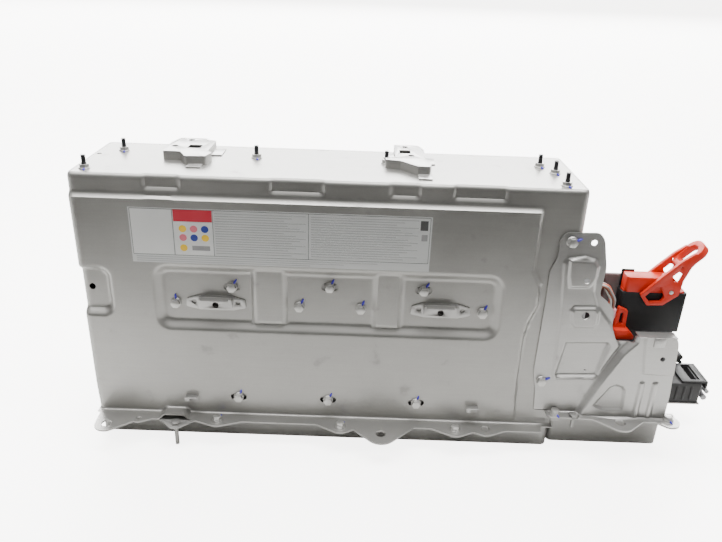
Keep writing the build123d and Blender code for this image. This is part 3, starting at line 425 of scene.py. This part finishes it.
def sheet_steel_group():
    """Galvanised sheet: a faint cloudy bloom, fine drawing lines, and a few handling marks."""
    group = bpy.data.node_groups.new("sheet_steel", "ShaderNodeTree")
    face = group.interface
    for label, kind, value in (("Tone", "NodeSocketColor", (0.5, 0.5, 0.48, 1)),
                               ("Bloom", "NodeSocketFloat", 0.5), ("Gloss", "NodeSocketFloat", 0.4)):
        face.new_socket(label, in_out="INPUT", socket_type=kind).default_value = value
    for label, kind in (("Color", "NodeSocketColor"), ("Roughness", "NodeSocketFloat"),
                        ("Height", "NodeSocketFloat")):
        face.new_socket(label, in_out="OUTPUT", socket_type=kind)
    new, link = group.nodes.new, group.links.new
    source, sink = new("NodeGroupInput"), new("NodeGroupOutput")
    place = new("ShaderNodeTexCoord")

    def noise(scale, detail, stretch=(1, 1, 1)):
        mapping = new("ShaderNodeMapping")
        mapping.inputs["Scale"].default_value = stretch
        cloud = new("ShaderNodeTexNoise")
        cloud.inputs["Scale"].default_value = scale
        cloud.inputs["Detail"].default_value = detail
        link(place.outputs["Object"], mapping.inputs["Vector"])
        link(mapping.outputs["Vector"], cloud.inputs["Vector"])
        return cloud.outputs["Fac"]

    def spread(value, low, high, to_low, to_high):
        node = new("ShaderNodeMapRange")
        for key, number in (("From Min", low), ("From Max", high), ("To Min", to_low), ("To Max", to_high)):
            node.inputs[key].default_value = number
        link(value, node.inputs["Value"])
        return node.outputs["Result"]

    def combine(a, b, operation):
        node = new("ShaderNodeMath")
        node.operation = operation
        link(a, node.inputs[0])
        if isinstance(b, float):
            node.inputs[1].default_value = b
        else:
            link(b, node.inputs[1])
        return node.outputs[0]

    bloom = noise(9.0, 3.0)
    grain = noise(900.0, 2.0)
    drawn = noise(60.0, 4.0, (0.35, 1, 6))
    marks = noise(34.0, 8.0)
    tone = combine(spread(bloom, 0.3, 0.7, 0.93, 1.06), spread(grain, 0.3, 0.7, 0.97, 1.03), "MULTIPLY")
    tone = combine(tone, spread(drawn, 0.3, 0.75, 0.975, 1.02), "MULTIPLY")
    tone = combine(tone, spread(marks, 0.66, 0.74, 1.0, 0.86), "MULTIPLY")
    scale = new("ShaderNodeVectorMath")
    scale.operation = "SCALE"
    link(source.outputs["Tone"], scale.inputs[0])
    link(tone, scale.inputs["Scale"])
    rough = combine(source.outputs["Gloss"], spread(bloom, 0.3, 0.7, 0.92, 1.12), "MULTIPLY")
    rough = combine(rough, spread(marks, 0.62, 0.74, 1.0, 1.25), "MULTIPLY")
    grain_height = combine(grain, 0.35, "MULTIPLY")
    drawn_height = combine(drawn, source.outputs["Bloom"], "MULTIPLY")
    height = combine(grain_height, drawn_height, "ADD")
    link(scale.outputs["Vector"], sink.inputs["Color"])
    link(rough, sink.inputs["Roughness"])
    link(height, sink.inputs["Height"])
    return group


sheet_steel = sheet_steel_group()


def skinned(name, skin, settings, bump, fine):
    """A material that takes its colour, gloss and fine relief from a shared skin."""
    material = bpy.data.materials.new(name)
    material.use_nodes = True
    tree = material.node_tree
    shader = tree.nodes["Principled BSDF"]
    group = tree.nodes.new("ShaderNodeGroup")
    group.node_tree = skin
    for label, value in settings.items():
        group.inputs[label].default_value = value
    relief = tree.nodes.new("ShaderNodeBump")
    relief.inputs["Strength"].default_value = bump
    relief.inputs["Distance"].default_value = fine
    tree.links.new(group.outputs["Color"], shader.inputs["Base Color"])
    tree.links.new(group.outputs["Roughness"], shader.inputs["Roughness"])
    tree.links.new(group.outputs["Height"], relief.inputs["Height"])
    tree.links.new(relief.outputs["Normal"], shader.inputs["Normal"])
    return material, shader


def steel_material(name, tone, gloss, bloom=0.5, metallic=0.75, bump=0.04):
    settings = {"Tone": (*tone, 1), "Gloss": gloss, "Bloom": bloom}
    material, shader = skinned(name, sheet_steel, settings, bump, 0.0006)
    shader.inputs["Metallic"].default_value = metallic
    return material


galvanised = steel_material("galvanised_case", (0.335, 0.33, 0.315), 0.40)


def build_cover():
    cover = add_object("pressed_cover", grid_mesh("pressed_cover", cover_skin(), ends=True))
    thicken(cover, STEEL)
    cut_with(cover, cover_cutters(), "DIFFERENCE")
    smooth_faces(cover.data, 35)
    cover.data.materials.clear()
    cover.data.materials.append(galvanised)
    return cover


pressed_cover = build_cover()
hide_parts("upper_cover")
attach(pressed_cover, "case")

# ---------------------------------------------------------------- trays and steel brackets
# Tray, brackets and the sheet at the far end are bent and pressed from the same galvanised coil.
# Their cut edges are slightly rounded by the press, so every piece gets a small soft edge.


def soften(names, width, material, smooth=35, segments=2):
    """Gives CAD pieces a rounded edge of this width in millimetres, and their finish."""
    for name in names:
        piece = nodes[name]
        piece.data.materials.clear()
        piece.data.materials.append(material)
        smooth_faces(piece.data, smooth)
        if not width:
            continue
        weld = piece.modifiers.new("joined_corners", "WELD")
        weld.merge_threshold = 0.00001
        flat = piece.modifiers.new("whole_faces", "DECIMATE")
        flat.decimate_type = "DISSOLVE"
        flat.angle_limit = math.radians(1)
        edge = piece.modifiers.new("soft_edge", "BEVEL")
        edge.width = width * MM
        edge.segments = segments
        edge.limit_method = "ANGLE"
        edge.angle_limit = math.radians(32)
        edge.use_clamp_overlap = True


tray_steel = steel_material("tray_steel", (0.30, 0.296, 0.284), 0.44)
bracket_steel = steel_material("bracket_steel", (0.385, 0.38, 0.368), 0.36, 0.9)
soften(["lower_tray", "junction_tray"], 0.35, tray_steel)
soften(["top_bracket_left", "top_bracket_right", "face_bracket_left", "face_bracket_right"],
       0.45, bracket_steel)
soften(["clip_tabs", "unit_sheet"], 0.3, bracket_steel)

# ---------------------------------------------------------------- side bracket
# A tall pressed bracket covers the joint between case and junction tray. Its leg has a raised middle with
# two seats and a dished window, its wide foot stands proud, and a lip on the foot carries the plug's stand.

BRACKET_T = 1.6
BRACKET_FACE = -71.9
BRACKET_OUTLINE = [(274, 55), (272, 88), (266, 114), (267, 219), (266, 256), (273, 274), (272, 297),
                   (278, 306), (318, 307), (325, 298), (333, 262), (331, 226), (341, 219), (352, 207),
                   (354, 184), (362, 164), (384, 164), (384, 176), (432, 177), (436, 168), (442, 92),
                   (442, 55)]
UPPER_SEAT = [(285, 275), (305, 279), (319, 275), (325, 265), (324.8, 252), (320, 240), (316, 236),
              (291, 235), (287, 250)]
LOWER_SEAT = [(297, 205), (301, 212), (329, 213), (335, 206), (336, 188), (331, 181), (306, 180.5),
              (300, 187)]
WINDOW = [(299, 161), (353, 163), (357, 158), (349, 111), (344, 108.5), (295, 106.5), (292, 112)]
FOOT = [(325, 40), (330, 56), (350, 107), (370, 150), (384, 168), (384, 200), (470, 200), (470, 40)]
FOOT_WINDOW = [(345, 71), (363, 102), (371, 106), (381, 103), (385, 96), (387, 66), (360, 65)]
CORNER_PAD = [(393, 190), (393, 167), (400, 122), (418, 121), (450, 121), (450, 190)]


LEG_PLATEAU = [(279, 268), (284, 275), (316, 274), (323, 266), (325, 232), (333, 212), (352, 190),
               (370, 158), (346, 105), (293, 103.5), (289, 110), (285, 209)]


def bracket_depth(x, z):
    depth = 5.0 * ease(-polygon_distance(x, z, WINDOW) / 5.0)
    depth = depth - 1.8 * ease(-polygon_distance(x, z, LEG_PLATEAU) / 4.0)
    depth = depth - 3.2 * ease(-polygon_distance(x, z, UPPER_SEAT) / 4.0)
    depth = depth - 3.6 * ease(-polygon_distance(x, z, LOWER_SEAT) / 4.5)
    depth = depth - 9.0 * ease(0.5 - polygon_distance(x, z, FOOT) / 7.0)
    depth = depth + 3.0 * ease(-polygon_distance(x, z, FOOT_WINDOW) / 4.0)
    depth = depth - 1.8 * ease(-polygon_distance(x, z, CORNER_PAD) / 3.0)
    for middle in (403, 420):
        depth = depth - 2.0 * ease(-round_rect(x, z, middle - 4.5, middle + 4.5, 48, 112, 4) / 3.0)
    return depth


def sheet_from_depth():
    xs, zs = np.arange(260, 446.1, 1.1), np.arange(56.0, 312.1, 1.1)
    x, z = np.meshgrid(xs, zs)
    y = BRACKET_FACE + bracket_depth(x, z)
    return add_object("side_bracket_pressing", grid_mesh("side_bracket_pressing", np.stack([x, y, z], 2)))


def prism_object(name, ring, near, far):
    """A solid along Y with this outline."""
    bm = bmesh.new()
    front = [bm.verts.new((x * MM, near * MM, z * MM)) for x, z in ring]
    back = [bm.verts.new((x * MM, far * MM, z * MM)) for x, z in ring]
    close_ring(bm, front, back)
    return solid_object(name, bm)


def rounded_ring(corners, radius, steps=4):
    """A polygon with its corners cut round."""
    ring = []
    for before, here, after in zip(corners[-1:] + corners[:-1], corners, corners[1:] + corners[:1]):
        a, b, c = Vector(before), Vector(here), Vector(after)
        cut = min(radius, (a - b).length / 2.1, (c - b).length / 2.1)
        start, end = b + (a - b).normalized() * cut, b + (c - b).normalized() * cut
        for t in np.linspace(0, 1, steps + 1):
            ring.append(tuple((1 - t) ** 2 * start + 2 * t * (1 - t) * b + t ** 2 * end))
    return ring


def bracket_holes():
    bm = bmesh.new()
    for x, z, radius in ((312.9, 294.2, 3.7), (311, 247, 3.6), (316.6, 200.5, 5.0), (332, 117.5, 1.5),
                         (420.5, 146, 3.3)):
        hole_cutter(bm, (x, BRACKET_FACE - 3, z), radius, "Y")
    return solid_object("bracket_holes", bm)


def block_object(name, x0, x1, y0, y1, z0, z1, edge=0.0, segments=3):
    """A block in millimetres, its edges rounded by this much."""
    block = prism_object(name, [(x0, z0), (x1, z0), (x1, z1), (x0, z1)], y0, y1)
    if edge:
        soft = block.modifiers.new("soft_edge", "BEVEL")
        soft.width = edge * MM
        soft.segments = segments
        baked(block)
    return block


def bracket_rim():
    """The bracket's flat rim over the junction tray, cut from the plain CAD piece."""
    rim = add_object("bracket_rim", nodes["side_bracket"].data.copy())
    bm = bmesh.new()
    bm.from_mesh(rim.data)
    bmesh.ops.remove_doubles(bm, verts=bm.verts, dist=0.00001)
    bm.to_mesh(rim.data)
    bm.free()
    cut_with(rim, block_object("rim_band", 250, 480, -130, -50, 54, 57.2), "INTERSECT")
    return rim


def build_bracket():
    panel = sheet_from_depth()
    thicken(panel, BRACKET_T)
    cut_with(panel, prism_object("bracket_blank", rounded_ring(BRACKET_OUTLINE, 5), -100, -50), "INTERSECT")
    cut_with(panel, bracket_holes(), "DIFFERENCE")
    lip = block_object("lip", 386, 434, -82.4, -66.9, 174.6, 176.2, 0.75)
    tab = block_object("tab", 405, 419, -84.0, -82.0, 163, 176.4, 0.75)
    bracket = joined("side_bracket_pressing", [panel, bracket_rim(), lip, tab])
    smooth_faces(bracket.data, 32)
    bracket.data.materials.clear()
    bracket.data.materials.append(bracket_steel)
    return bracket


def joined(name, parts):
    """One plain mesh from several curve or mesh objects."""
    graph = bpy.context.evaluated_depsgraph_get()
    bm = bmesh.new()
    materials = []
    for part in parts:
        mesh = bpy.data.meshes.new_from_object(part.evaluated_get(graph))
        base = len(materials)
        materials += list(mesh.materials)
        start = len(bm.faces)
        bm.from_mesh(mesh)
        bm.faces.ensure_lookup_table()
        for face in bm.faces[start:]:
            face.material_index += base
            face.smooth = True
    mesh = bpy.data.meshes.new(name)
    bm.to_mesh(mesh)
    bm.free()
    for material in materials:
        mesh.materials.append(material)
    for part in parts:
        bpy.data.objects.remove(part)
    return add_object(name, mesh)


side_bracket = build_bracket()
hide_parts("side_bracket")
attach(side_bracket, "case")

# ---------------------------------------------------------------- cells and what holds them
# Two rows of prismatic aluminium cells stand between plastic spacers, clamped by end plates and rails.
# Copper straps join the terminals and a black duct runs over the upper row. All of it sits in the case.


def skin_group():
    """Moulded plastic: an even colour with a fine grain and slightly uneven gloss."""
    group = bpy.data.node_groups.new("moulded_skin", "ShaderNodeTree")
    face = group.interface
    for label, kind, value in (("Tone", "NodeSocketColor", (0.1, 0.1, 0.1, 1)),
                               ("Gloss", "NodeSocketFloat", 0.45), ("Dust", "NodeSocketFloat", 0.1)):
        face.new_socket(label, in_out="INPUT", socket_type=kind).default_value = value
    for label, kind in (("Color", "NodeSocketColor"), ("Roughness", "NodeSocketFloat"),
                        ("Height", "NodeSocketFloat")):
        face.new_socket(label, in_out="OUTPUT", socket_type=kind)
    new, link = group.nodes.new, group.links.new
    source, sink = new("NodeGroupInput"), new("NodeGroupOutput")
    place = new("ShaderNodeTexCoord")
    clouds = new("ShaderNodeTexNoise")
    clouds.inputs["Scale"].default_value = 45.0
    clouds.inputs["Detail"].default_value = 5.0
    grain = new("ShaderNodeTexNoise")
    grain.inputs["Scale"].default_value = 1800.0
    grain.inputs["Detail"].default_value = 1.0
    for cloud in (clouds, grain):
        link(place.outputs["Object"], cloud.inputs["Vector"])
    amount = new("ShaderNodeMath")
    amount.operation = "MULTIPLY"
    link(clouds.outputs["Fac"], amount.inputs[0])
    link(source.outputs["Dust"], amount.inputs[1])
    dusty = new("ShaderNodeMix")
    dusty.data_type = "RGBA"
    dusty.inputs["B"].default_value = (0.55, 0.53, 0.5, 1)
    link(amount.outputs[0], dusty.inputs["Factor"])
    link(source.outputs["Tone"], dusty.inputs["A"])
    rough = new("ShaderNodeMath")
    rough.operation = "MULTIPLY_ADD"
    rough.inputs[1].default_value = 0.25
    link(clouds.outputs["Fac"], rough.inputs[0])
    link(source.outputs["Gloss"], rough.inputs[2])
    link(dusty.outputs["Result"], sink.inputs["Color"])
    link(rough.outputs[0], sink.inputs["Roughness"])
    link(grain.outputs["Fac"], sink.inputs["Height"])
    return group


moulded_skin = skin_group()


def plastic(name, tone, gloss=0.35, dust=0.08, through=0.0, metallic=0.0, shine=0.5):
    settings = {"Tone": (*tone, 1), "Gloss": gloss, "Dust": dust}
    material, shader = skinned(name, moulded_skin, settings, 0.12, 0.0002)
    shader.inputs["Metallic"].default_value = metallic
    shader.inputs["Alpha"].default_value = 1.0 - through
    shader.inputs["Specular IOR Level"].default_value = shine
    return material


soften(["cells_lower", "cells_upper"], 0, plastic("cell_aluminium", (0.55, 0.56, 0.58), 0.3, 0.0, 0, 0.8))
soften(["spacers_lower", "spacers_upper", "cell_bearers"], 0, plastic("cream_spacer", (0.62, 0.6, 0.52)))
soften(["busbars_lower", "busbars_upper", "high_voltage_bars"], 0,
       plastic("bar_copper", (0.72, 0.36, 0.2), 0.22, 0.0, 0, 1.0))
soften(["end_plates"], 0, plastic("end_plate_plastic", (0.08, 0.08, 0.085)))
soften(["tie_rails"], 0, tray_steel)
soften(["gas_duct", "junction_base", "relays", "socket_stand", "guard_stand"], 0,
       plastic("inner_black", (0.025, 0.025, 0.027)))
soften(["current_sensor"], 0, plastic("sensor_grey", (0.13, 0.13, 0.135)))
soften(["precharge_resistor"], 0, plastic("resistor_ceramic", (0.7, 0.69, 0.64), 0.6))

# ---------------------------------------------------------------- bolts, nuts and studs
# M6 flange bolts and nuts, bright zinc, with dark studs on the top. The fitter has marked each
# tightened bolt with a short dab of violet paint that runs from the flange on to the sheet.

bright_zinc = steel_material("bright_zinc", (0.5, 0.495, 0.475), 0.44, 0.3, 0.9, 0.02)
dark_stud = steel_material("dark_stud", (0.05, 0.05, 0.052), 0.35, 0.3, 0.7, 0.05)
soften(["slot_bolts_high", "slot_bolts_low", "plain_bolts", "bracket_bolts", "seam_bolts", "top_nuts"],
       0.25, bright_zinc)
soften(["seam_nuts", "tray_studs"], 0.2, tray_steel)
soften(["top_studs"], 0.2, dark_stud)


def dab_mesh():
    """A drop of paint, longer than wide, lying on the XY plane."""
    bm = bmesh.new()
    bmesh.ops.create_icosphere(bm, subdivisions=2, radius=1.0)
    for vertex in bm.verts:
        x, y, z = vertex.co
        wide = 1.5 - 0.35 * y
        vertex.co = Vector((x * wide, y * 4.0, z * 1.6)) * MM
    mesh = bpy.data.meshes.new("paint_drop")
    bm.to_mesh(mesh)
    bm.free()
    return mesh


def dab_tree(drop, paint):
    """Puts one drop on every point, turned by the point's own angles."""
    tree = bpy.data.node_groups.new("paint_dabs", "GeometryNodeTree")
    tree.interface.new_socket("Points", in_out="INPUT", socket_type="NodeSocketGeometry")
    tree.interface.new_socket("Size", in_out="INPUT", socket_type="NodeSocketFloat").default_value = 1.0
    tree.interface.new_socket("Dabs", in_out="OUTPUT", socket_type="NodeSocketGeometry")
    new, link = tree.nodes.new, tree.links.new
    source, sink = new("NodeGroupInput"), new("NodeGroupOutput")
    shape = new("GeometryNodeObjectInfo")
    shape.inputs["Object"].default_value = drop
    turn = new("GeometryNodeInputNamedAttribute")
    turn.data_type = "FLOAT_VECTOR"
    turn.inputs["Name"].default_value = "turn"
    angles = new("FunctionNodeEulerToRotation")
    spread = new("GeometryNodeInstanceOnPoints")
    real = new("GeometryNodeRealizeInstances")
    coat = new("GeometryNodeSetMaterial")
    coat.inputs["Material"].default_value = paint
    link(source.outputs["Points"], spread.inputs["Points"])
    link(shape.outputs["Geometry"], spread.inputs["Instance"])
    link(turn.outputs["Attribute"], angles.inputs["Euler"])
    link(angles.outputs["Rotation"], spread.inputs["Rotation"])
    link(source.outputs["Size"], spread.inputs["Scale"])
    link(spread.outputs["Instances"], real.inputs["Geometry"])
    link(real.outputs["Geometry"], coat.inputs["Geometry"])
    link(coat.outputs["Geometry"], sink.inputs["Dabs"])
    return tree


def paint_dabs():
    """Dabs beside the bolts: x, y, z in millimetres, whether on an upright face, and the clock angle."""
    places = []
    recess, low, bracket = -67.8, -74.6, -72.8
    for x, z, angle in ((-116.3, 218, 30), (3.4, 222, 25), (118.3, 222, 30), (-186.4, 194, 0),
                        (-33.8, 194, 25), (42.0, 194, 20), (192.6, 194, 25)):
        places.append((x, recess, z, True, angle))
    for x, z, angle in ((-113.0, 62, 20), (3.6, 62, 25), (118.7, 62, 15)):
        places.append((x, low, z, True, angle))
    places.append((286.6, bracket, 294.5, True, 70))
    places.append((277.3, bracket, 101.6, True, 65))
    for x, y, z, angle in ((-140, -88, 35, 20), (20.8, -93, 35, 30), (170.6, -92, 35, 10),
                           (300, -79, 57, 160), (446, -84, 57, 170)):
        places.append((x, y, z, False, angle))
    for x, y in ((-283.6, -52.1), (-264.5, 30.6), (-94.6, 17.5), (67.6, 13.4), (260.5, 22.5), (273.4, -5.0),
                 (274.8, -55.3)):
        places.append((x, y, 357.4, False, 165))
    points, turns = [], []
    for x, y, z, upright, angle in places:
        a = math.radians(angle)
        reach = 8.6 if upright else 7.0
        if upright:
            points.append((x + reach * math.sin(a), y, z + reach * math.cos(a)))
            turns.append((math.pi / 2, a, 0.0))
        else:
            points.append((x + reach * math.sin(a), y + reach * math.cos(a), z))
            turns.append((0.0, 0.0, -a))
    mesh = bpy.data.meshes.new("dab_points")
    mesh.from_pydata([Vector(p) * MM for p in points], [], [])
    turn = mesh.attributes.new("turn", "FLOAT_VECTOR", "POINT")
    turn.data.foreach_set("vector", [value for one in turns for value in one])
    return add_object("paint_dabs", mesh)


def build_dabs():
    drop = add_object("paint_drop", dab_mesh())
    dabs = paint_dabs()
    violet = plastic("violet_paint", (0.055, 0.04, 0.42), 0.25, 0.0)
    spread = dabs.modifiers.new("paint", "NODES")
    spread.node_group = dab_tree(drop, violet)
    baked(dabs)
    bpy.data.objects.remove(drop)
    smooth_faces(dabs.data, 60)
    return dabs


paint = build_dabs()
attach(paint, "case")

# ---------------------------------------------------------------- sticker on the front
# A silver foil sticker lies flat on the front above the recess. Its fields are plain: a square, a red
# strip, a few coloured dots and columns of thin grey rules.


def slab(parts, x0, x1, z0, z1, tone, lift):
    """Adds one thin field of the sticker; a higher lift lies over a lower one."""
    parts.append(([(x0, z0), (x1, z0), (x1, z1), (x0, z1)], tone, lift))


def disc(parts, x, z, radius, tone, lift):
    turn = np.linspace(0, 2 * math.pi, 25)[:-1]
    ring = [(x + radius * math.cos(a), z + radius * math.sin(a)) for a in turn]
    parts.append((ring, tone, lift))


def sticker_fields():
    parts = []
    slab(parts, -231, 121.5, 251, 320, "foil", 0)
    slab(parts, -229, -181, 262, 318, "pale", 1)
    slab(parts, -179, -134, 304, 318.5, "red", 1)
    slab(parts, -179, -134, 262, 303, "pale", 1)
    for row, z in enumerate((295, 284)):
        for column, x in enumerate((-169, -156, -143)):
            tone = ("yellow", "rose", "blue")[(column + row) % 3]
            disc(parts, x, z, 4.4, tone, 2)
    disc(parts, -169, 271, 4.4, "yellow", 2)
    slab(parts, -159, -138, 268, 274, "grey", 2)
    for z in (261.4, 318.6):
        slab(parts, -229, 119.5, z - 0.25, z + 0.25, "dark", 2)
    for x in (-229, -180, -133.3, -22, 119.5):
        slab(parts, x - 0.25, x + 0.25, 261.4, 318.6, "dark", 2)
    for x0, x1 in ((-131, -25), (-19, 106)):
        for line in range(17):
            z = 315 - 3.1 * line
            end = x1 - (7 + 23 * ((line * 7) % 5) / 5) * (line % 3 > 0)
            slab(parts, x0, end, z - 0.55, z + 0.55, "rule", 2)
    for line in range(3):
        z = 258.6 - 2.7 * line
        slab(parts, -226, 60 - 40 * line, z - 0.45, z + 0.45, "rule", 2)
    slab(parts, 108, 117, 303, 315, "dark", 2)
    slab(parts, 110, 117, 290, 298, "grey", 2)
    return parts


def build_sticker():
    tones = {"foil": (0.60, 0.61, 0.60), "pale": (0.74, 0.745, 0.73), "red": (0.47, 0.02, 0.04),
             "yellow": (0.8, 0.52, 0.03), "rose": (0.62, 0.16, 0.2), "blue": (0.03, 0.05, 0.27),
             "grey": (0.25, 0.25, 0.25), "dark": (0.06, 0.06, 0.06), "rule": (0.38, 0.385, 0.38)}
    order = list(tones)
    vertices, faces, kinds = [], [], []
    for ring, tone, lift in sticker_fields():
        start, count = len(vertices), len(ring)
        near = -75.12 - 0.05 * lift
        vertices += [(x, near, z) for x, z in ring] + [(x, -74.9, z) for x, z in ring]
        faces.append([start + i for i in range(count)])
        faces.append([start + count + i for i in reversed(range(count))])
        faces += [[start + (i + 1) % count, start + i, start + count + i, start + count + (i + 1) % count]
                  for i in range(count)]
        kinds += [order.index(tone)] * (count + 2)
    mesh = bpy.data.meshes.new("sticker")
    mesh.from_pydata([Vector(v) * MM for v in vertices], [], faces)
    for name in order:
        foil = name in ("foil", "pale")
        mesh.materials.append(plastic("sticker_" + name, tones[name], 0.22, 0.04, 0, 0.35 if foil else 0.0))
    mesh.polygons.foreach_set("material_index", kinds)
    return add_object("sticker", mesh)


sticker = build_sticker()
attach(sticker, "case")

# ---------------------------------------------------------------- service plug and its socket
# The orange service plug stands in a black socket. Its lever is a glass-filled orange moulding with
# two cam arms and a looped handle; the small orange connector beside it closes the interlock circuit.

orange = plastic("signal_orange", (0.55, 0.022, 0.006), 0.34, 0.0, shine=0.3)
black_plastic = plastic("black_plastic", (0.008, 0.008, 0.009), 0.42, 0.02, shine=0.22)
soften(["plug_body", "interlock_connector"], 0.8, orange)
soften(["plug_lever"], 0.9, orange)
soften(["lever_pin"], 0.4, bright_zinc)
soften(["plug_socket", "interlock_strip"], 0.9, black_plastic)
soften(["sense_connector"], 0.6, plastic("pink_connector", (0.72, 0.33, 0.36)))


def build_guard():
    """The smoked cover over the busbars, beside the socket."""
    guard = block_object("smoked_guard", 342, 376, -26.5, -20, 190, 235, 2.0)
    smooth_faces(guard.data, 40)
    smoked = plastic("smoked_guard", (0.085, 0.034, 0.03), 0.25, 0.0, 0.08, shine=0.25)
    guard.data.materials.append(smoked)
    return guard


smoked_guard = build_guard()
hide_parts("busbar_guard")
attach(smoked_guard, "case")


def build_socket_rim():
    """The raised black rim behind the plug's left end."""
    rim = block_object("socket_rim", 369, 385, -29.7, -27.6, 205, 244, 0.6, 2)
    smooth_faces(rim.data, 40)
    rim.data.materials.append(black_plastic)
    return rim


socket_rim = build_socket_rim()
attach(socket_rim, "case")

# ---------------------------------------------------------------- sense wires
# A bundle of thin sleeved wires climbs out of the case end beside the plug and turns down into the
# pink connector. A few wires wind loosely round one another.


def bundle_route(t):
    """A smooth line through the bundle's stations, t from 0 to 1."""
    route = np.array([(314, -36, 160), (320, -42, 206), (333, -47, 231), (346, -50, 229),
                      (355.5, -52.5, 213), (355.5, -52.5, 200.3)], float)
    steps = np.linspace(0, 1, len(route))
    fine = np.array([np.interp(t, steps, route[:, k]) for k in range(3)]).T
    for _ in range(6):
        fine[1:-1] = (fine[:-2] + 2 * fine[1:-1] + fine[2:]) / 4
    return fine


def build_wires():
    sleeves = [plastic("wire_" + name, tone, 0.35, 0.02) for name, tone in (
        ("grey", (0.35, 0.34, 0.33)), ("orange", (0.7, 0.12, 0.04)), ("white", (0.7, 0.68, 0.64)),
        ("brown", (0.2, 0.07, 0.04)))]
    t = np.linspace(0, 1, 60)
    centre = bundle_route(t)
    wires = []
    for i in range(7):
        angle = 2 * math.pi * i / 6 + 2.2 * t
        ring = 3.1 if i < 6 else 0.0
        offset = np.stack([ring * np.cos(angle), 0.8 * ring * np.sin(angle), 0.35 * ring * np.sin(angle)], 1)
        curve = bpy.data.curves.new("wire", "CURVE")
        curve.dimensions = "3D"
        curve.bevel_depth = 1.45 * MM
        curve.bevel_resolution = 2
        curve.use_fill_caps = True
        line = curve.splines.new("POLY")
        line.points.add(len(t) - 1)
        for point, place in zip(line.points, (centre + offset) * MM):
            point.co = (*place, 1)
        curve.materials.append(sleeves[i % len(sleeves)])
        wires.append(add_object("wire", curve))
    return joined("sense_wires", wires)


wires = build_wires()
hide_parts("harness")
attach(wires, "case")

# ---------------------------------------------------------------- control unit at the far end
# The black control unit is clipped under the wiring frame on a grey sheet beyond the junction tray.
# The mouldings are plain polypropylene, a little dusty.

unit_black = plastic("unit_black", (0.012, 0.012, 0.013), 0.38, 0.05, shine=0.3)
soften(["control_unit", "unit_lid"], 0.5, unit_black)
soften(["clip_frame"], 0.6, unit_black)
soften(["wire_clip"], 0.4, plastic("clip_grey", (0.3, 0.3, 0.31)))
